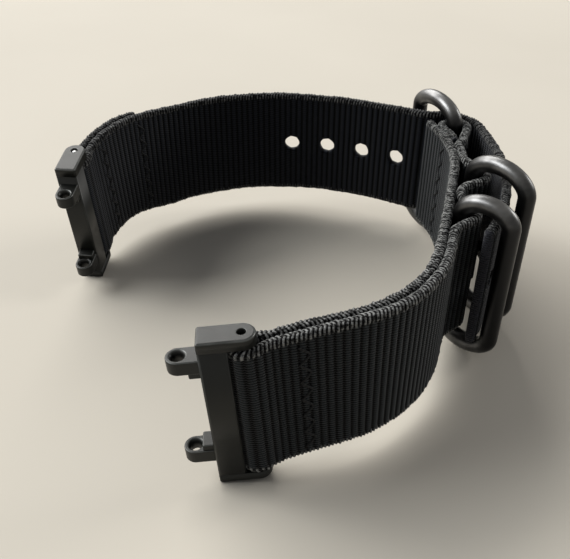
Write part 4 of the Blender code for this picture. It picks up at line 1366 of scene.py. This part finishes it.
def dress_end_piece(name, body, node, stand, skin):
    """Spine, two ears flush with it, and two prongs that lie towards the skin side."""
    side = skin * (SPINE_HALF_SIDE - PRONG_RADIUS - PRONG_STEP)
    front = -SETBACK
    shells = [spine()]
    for sign in (1, -1):
        low, high = sorted((sign * EAR_FACE, sign * SPINE_HALF_HEIGHT))
        levels = edge_levels(low, high, EDGE, square=-sign)
        shells.append(plate((0, 0), SPINE_HALF_SIDE, SETBACK, EDGE, levels, EAR_HOLE,
                            (EAR_SINK, EAR_SINK - EAR_HOLE), 1))
        middle = PRONG_RISE + sign * PRONG_HALF_PITCH
        levels = edge_levels(middle - PRONG_HALF, middle + PRONG_HALF, PRONG_EDGE,
                             PRONG_EDGE_STEPS)
        shells.append(plate((front - PRONG_REACH, side), PRONG_RADIUS, PRONG_REACH + PRONG_BURY,
                            PRONG_EDGE, levels, PRONG_HOLE, (PRONG_SINK, PRONG_SINK_DEPTH), -1))
        step = middle - sign * (ARM_HALF - PRONG_HALF + PRONG_STEP)
        shells.append(rounded_block(front - ARM_REACH, front + PRONG_BURY, side - ARM_SIDE,
                                    side + ARM_SIDE, step - ARM_HALF, step + ARM_HALF,
                                    PRONG_EDGE))
    points, faces, wear_and_highlight = join_shells(shells)
    piece = make_piece(name, stand.set(points), faces, anodised)
    store(piece.data, "wear_and_highlight", wear_and_highlight)
    print(name, "lowest, mm", in_mm(stand.set(points).min(axis=0)), "solid",
          in_mm(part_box(node)[0]))
    return seat(piece, body, node)


dress_end_piece("end_piece_a_metal", "end_piece_a", "adapter_a", stand_a, -1)
dress_end_piece("end_piece_b_metal", "end_piece_b", "adapter_b", stand_b, 1)

# %% [markdown]
# A spring bar is a thin steel tube with a sprung tip at each end. Only the tips show, in
# the gap between webbing and ear and in the ear's hole, as bright spots. They are turned
# shapes: a profile of radii and heights carried round the bar's axis. The coil inside
# each tube is made as two halves from its middle, because each half gets shorter when
# the tip at its own end is pressed in.

# %% Sizes of the spring bars
LATHE_SIDES = 40
CRISP = 0.00001
TUBE_BORE_RADIUS = 0.0005
TUBE_END_RUN = 0.0023
TIP_RADIUS = 0.0005
TIP_ROUND = 0.00015
STEM_RADIUS = 0.00035
STEM_RUN = 0.0026
COLLAR_RADIUS = 0.0009
COLLAR_THICK = 0.0004
COLLAR_EAR_GAP = 0.0003
TUBE_HALF = EAR_FACE - TUBE_END_RUN
STEM_END = TUBE_HALF - STEM_RUN
TIP_BITE = 0.0010
SEEN_TIP_BITE = 0.0015
SPRING_RADIUS = 0.00033
SPRING_WIRE = 0.00009
SPRING_SIDES = 8
SPRING_GAP = 0.0002
SPRING_HALF_TURNS = 3.5
SPRING_HALF_STEPS = 84
print("tube half length, stem end, mm", in_mm(TUBE_HALF), in_mm(STEM_END))

# %% Bright steel
STEEL_GRAIN = 6000.0
STEEL_CLOUD = 500.0
STEEL_BUMP = 0.000008


def steel_finish():
    """Bright turned steel: fine grain in its gloss and a slow change of its tone."""
    finish = Finish("spring_steel", Metallic=1.0)
    place = finish.place()
    fine = finish.noise(place, STEEL_GRAIN)
    cloud = finish.noise(place, STEEL_CLOUD)
    finish.feed("Base Color", finish.mix(cloud, (0.42, 0.42, 0.43), (0.62, 0.62, 0.61)))
    finish.feed("Roughness", 0.20 + fine * 0.15)
    finish.bump(fine, STEEL_BUMP, 0.5)
    return finish


steel = steel_finish()
print("steel finish", steel.material.name)

# %% Turned shapes


def lathe(profile, stand, closed):
    """Profile of (radius, height) pairs, read upwards on its outer side, turned about Z."""
    profile = np.array(profile)
    angle = TWO_PI * np.arange(LATHE_SIDES) / LATHE_SIDES
    ring = np.stack([np.cos(angle), np.sin(angle)], axis=-1)
    points = np.concatenate([profile[:, None, :1] * ring[None],
                             np.repeat(profile[:, None, 1:], LATHE_SIDES, axis=1)], axis=-1)
    faces = (grid_faces(len(profile), LATHE_SIDES, True, True) if closed
             else capped(len(profile), LATHE_SIDES))
    return stand.set(points.reshape(-1, 3)), faces


def corners(profile):
    """Double each corner of a profile, so that smooth shading keeps it crisp."""
    made = []
    for k, (r, z) in enumerate(profile):
        for other in (k - 1, k + 1):
            if 0 <= other < len(profile):
                away = np.array(profile[other]) - (r, z)
                made.append(tuple((r, z) + away * CRISP / np.linalg.norm(away)))
            else:
                made.append((r, z))
    return made


print("points of a doubled corner", corners([(1, 0), (1, 1), (0, 1)]))

# %% Coil, tips and tube


def dress_spring(letter, end, sign, stand):
    """Half of a bar's coil, from its middle towards one tip: radius * (cos, sin) of the
    turn, and a height that grows evenly with it."""
    share = np.linspace(0, 1, SPRING_HALF_STEPS + 1)
    angle = TWO_PI * SPRING_HALF_TURNS * share
    top = STEM_END - SPRING_GAP
    centres = np.stack([SPRING_RADIUS * np.cos(angle), SPRING_RADIUS * np.sin(angle),
                        sign * (top - SPRING_WIRE) * share], axis=1)
    points, _ = tube(centres, (0, 0, 1.0), SPRING_WIRE, SPRING_SIDES, False)
    node = "spring_bar_%s_spring" % letter
    piece = make_piece("%s_%s_half" % (node, end), stand.set(points.reshape(-1, 3)),
                       capped(len(centres), SPRING_SIDES), steel)
    seat(piece, "end_piece_%s" % letter, node)
    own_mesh(piece)


def dress_tip(letter, end, sign, stand, bite):
    """Stem, collar and rounded nose of one tip; bite is how far the nose goes into its ear."""
    collar = EAR_FACE - COLLAR_EAR_GAP
    foot, top = collar - COLLAR_THICK, EAR_FACE + bite
    outline = corners([(STEM_RADIUS, STEM_END), (STEM_RADIUS, foot), (COLLAR_RADIUS, foot),
                       (COLLAR_RADIUS, collar), (TIP_RADIUS, collar),
                       (TIP_RADIUS, top - TIP_ROUND), (TIP_RADIUS - TIP_ROUND, top)])
    if sign < 0:
        outline = [(r, -z) for r, z in outline[::-1]]
    node = "spring_bar_%s_%s_tip" % (letter, end)
    points, faces = lathe(outline, stand, False)
    seat(make_piece(node + "_turned", points, faces, steel), node, node)


def dress_bar(letter, stand, upper_bite):
    """Tube of one spring bar, its two tips and the two halves of its coil."""
    for end, sign, bite in (("upper", 1, upper_bite), ("lower", -1, TIP_BITE)):
        dress_tip(letter, end, sign, stand, bite)
        dress_spring(letter, end, sign, stand)
    points, faces = lathe(corners([(TUBE_RADIUS, -TUBE_HALF), (TUBE_RADIUS, TUBE_HALF),
                                   (TUBE_BORE_RADIUS, TUBE_HALF),
                                   (TUBE_BORE_RADIUS, -TUBE_HALF)]), stand, True)
    node = "spring_bar_%s_tube" % letter
    seat(make_piece(node + "_turned", points, faces, steel), "end_piece_%s" % letter, node)
    print("spring bar", letter, "upper tip reaches, mm", in_mm(EAR_FACE + upper_bite))


dress_bar("a", stand_a, SEEN_TIP_BITE)
dress_bar("b", stand_b, TIP_BITE)

# %% [markdown]
# The buckle's tongue is a strip of the same steel, bent round the ring's inner bar. Its
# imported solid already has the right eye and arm, so it stays and takes the rings' finish.

# %% Tongue
for slot in frame["nodes"]["buckle_tongue"].material_slots:
    slot.material = ring_black.material
print("tongue finish", ring_black.material.name)

# %% [markdown]
# The strap stands on two end pieces and on the buckle ring, which are not quite level
# with each other, so the floor is the plane through those three points. It is plain, in
# a warm pale tone with faint slow clouds, and it runs far enough to fill the picture.

# %% Floor
FLOOR_SLOPE_X = -0.031005
FLOOR_SLOPE_Y = -0.025100
FLOOR_LEVEL = 0.001277
FLOOR_HALF = 1.6
FLOOR_CLOUD = 9.0


def dress_floor():
    """One large square in the plane z = slope_x * x + slope_y * y + level."""
    corners_xy = np.array(((-1, -1), (1, -1), (1, 1), (-1, 1))) * FLOOR_HALF
    height = corners_xy @ np.array((FLOOR_SLOPE_X, FLOOR_SLOPE_Y)) + FLOOR_LEVEL
    points = np.column_stack([corners_xy, height])
    print("floor corner heights, mm", in_mm(height))
    finish = Finish("pale_floor", Roughness=0.8, Specular_IOR_Level=0.2)
    cloud = finish.noise(finish.place(), FLOOR_CLOUD, 3.0)
    finish.feed("Base Color", finish.mix(cloud, (0.49, 0.455, 0.390), (0.56, 0.522, 0.450)))
    piece = make_piece("floor", points, [(0, 1, 2, 3)], finish, smooth=False)


dress_floor()

# %% [markdown]
# The light is soft and comes mostly from above and behind, as under an open sky, so the
# tops of the rings, the ears and the selvedges are bright and the faces towards the
# camera stay dark. One wide lamp does that, helped by the painted highlights on the ring
# bends, the metal edges and the selvedges. A smaller one from the left brings out the
# ribs on the inner faces, and a small one from the right draws an edge along the rings.
# The world fills the shadows a little, and what looks like a pale backdrop to the camera
# and in the metal gives the cloth no light of its own.

# %% Lights
AIM_HEIGHT = 0.015


def soft_lamp(name, place, size, watts, colour):
    """Square lamp at a place, facing the strap."""
    data = bpy.data.lights.new(name, "AREA")
    data.shape = "RECTANGLE"
    data.size, data.size_y = size
    data.energy = watts
    data.color = colour
    lamp = bpy.data.objects.new(name, data)
    bpy.context.scene.collection.objects.link(lamp)
    aim = Vector((0, 0, AIM_HEIGHT)) - Vector(place)
    lamp.matrix_world = (Matrix.Translation(place)
                         @ aim.to_track_quat("-Z", "Y").to_matrix().to_4x4())
    return lamp


sky_lamp = soft_lamp("sky_lamp", (-2.40, 3.17, 2.69), (6.7, 2.4), 375.0, (1.0, 0.985, 0.96))
side_lamp = soft_lamp("side_lamp", (-1.85, 0.25, 1.60), (1.3, 1.2), 38.0, (0.97, 0.99, 1.0))
rim_lamp = soft_lamp("rim_lamp", (1.2, 0.5, 0.5), (0.5, 0.5), 8.0, (1.0, 0.98, 0.95))


def soft_world():
    """Even dim light from all sides; the camera and shiny pieces see a paler backdrop."""
    world = bpy.data.worlds.new("soft_world")
    world.use_nodes = True
    tree = world.node_tree
    light = tree.nodes["Background"]
    light.inputs["Color"].default_value = (0.90, 0.93, 1.0, 1.0)
    light.inputs["Strength"].default_value = 0.20
    backdrop = add_node(tree, "ShaderNodeBackground", None, [(0.82, 0.80, 0.75, 1.0), 0.60])
    path = add_node(tree, "ShaderNodeLightPath")
    share = path.outputs["Is Camera Ray"]
    for kind in ("Is Glossy Ray", "Is Transmission Ray"):
        share = add_node(tree, "ShaderNodeMath", {"operation": "MAXIMUM"},
                         [share, path.outputs[kind]]).outputs[0]
    mixed = add_node(tree, "ShaderNodeMixShader", None,
                     [share, light.outputs[0], backdrop.outputs[0]])
    tree.links.new(mixed.outputs[0], tree.nodes["World Output"].inputs["Surface"])
    bpy.context.scene.world = world


soft_world()
bpy.context.scene.view_settings.view_transform = "Standard"
print("lamps", [lamp.data.energy for lamp in (sky_lamp, side_lamp, rim_lamp)])
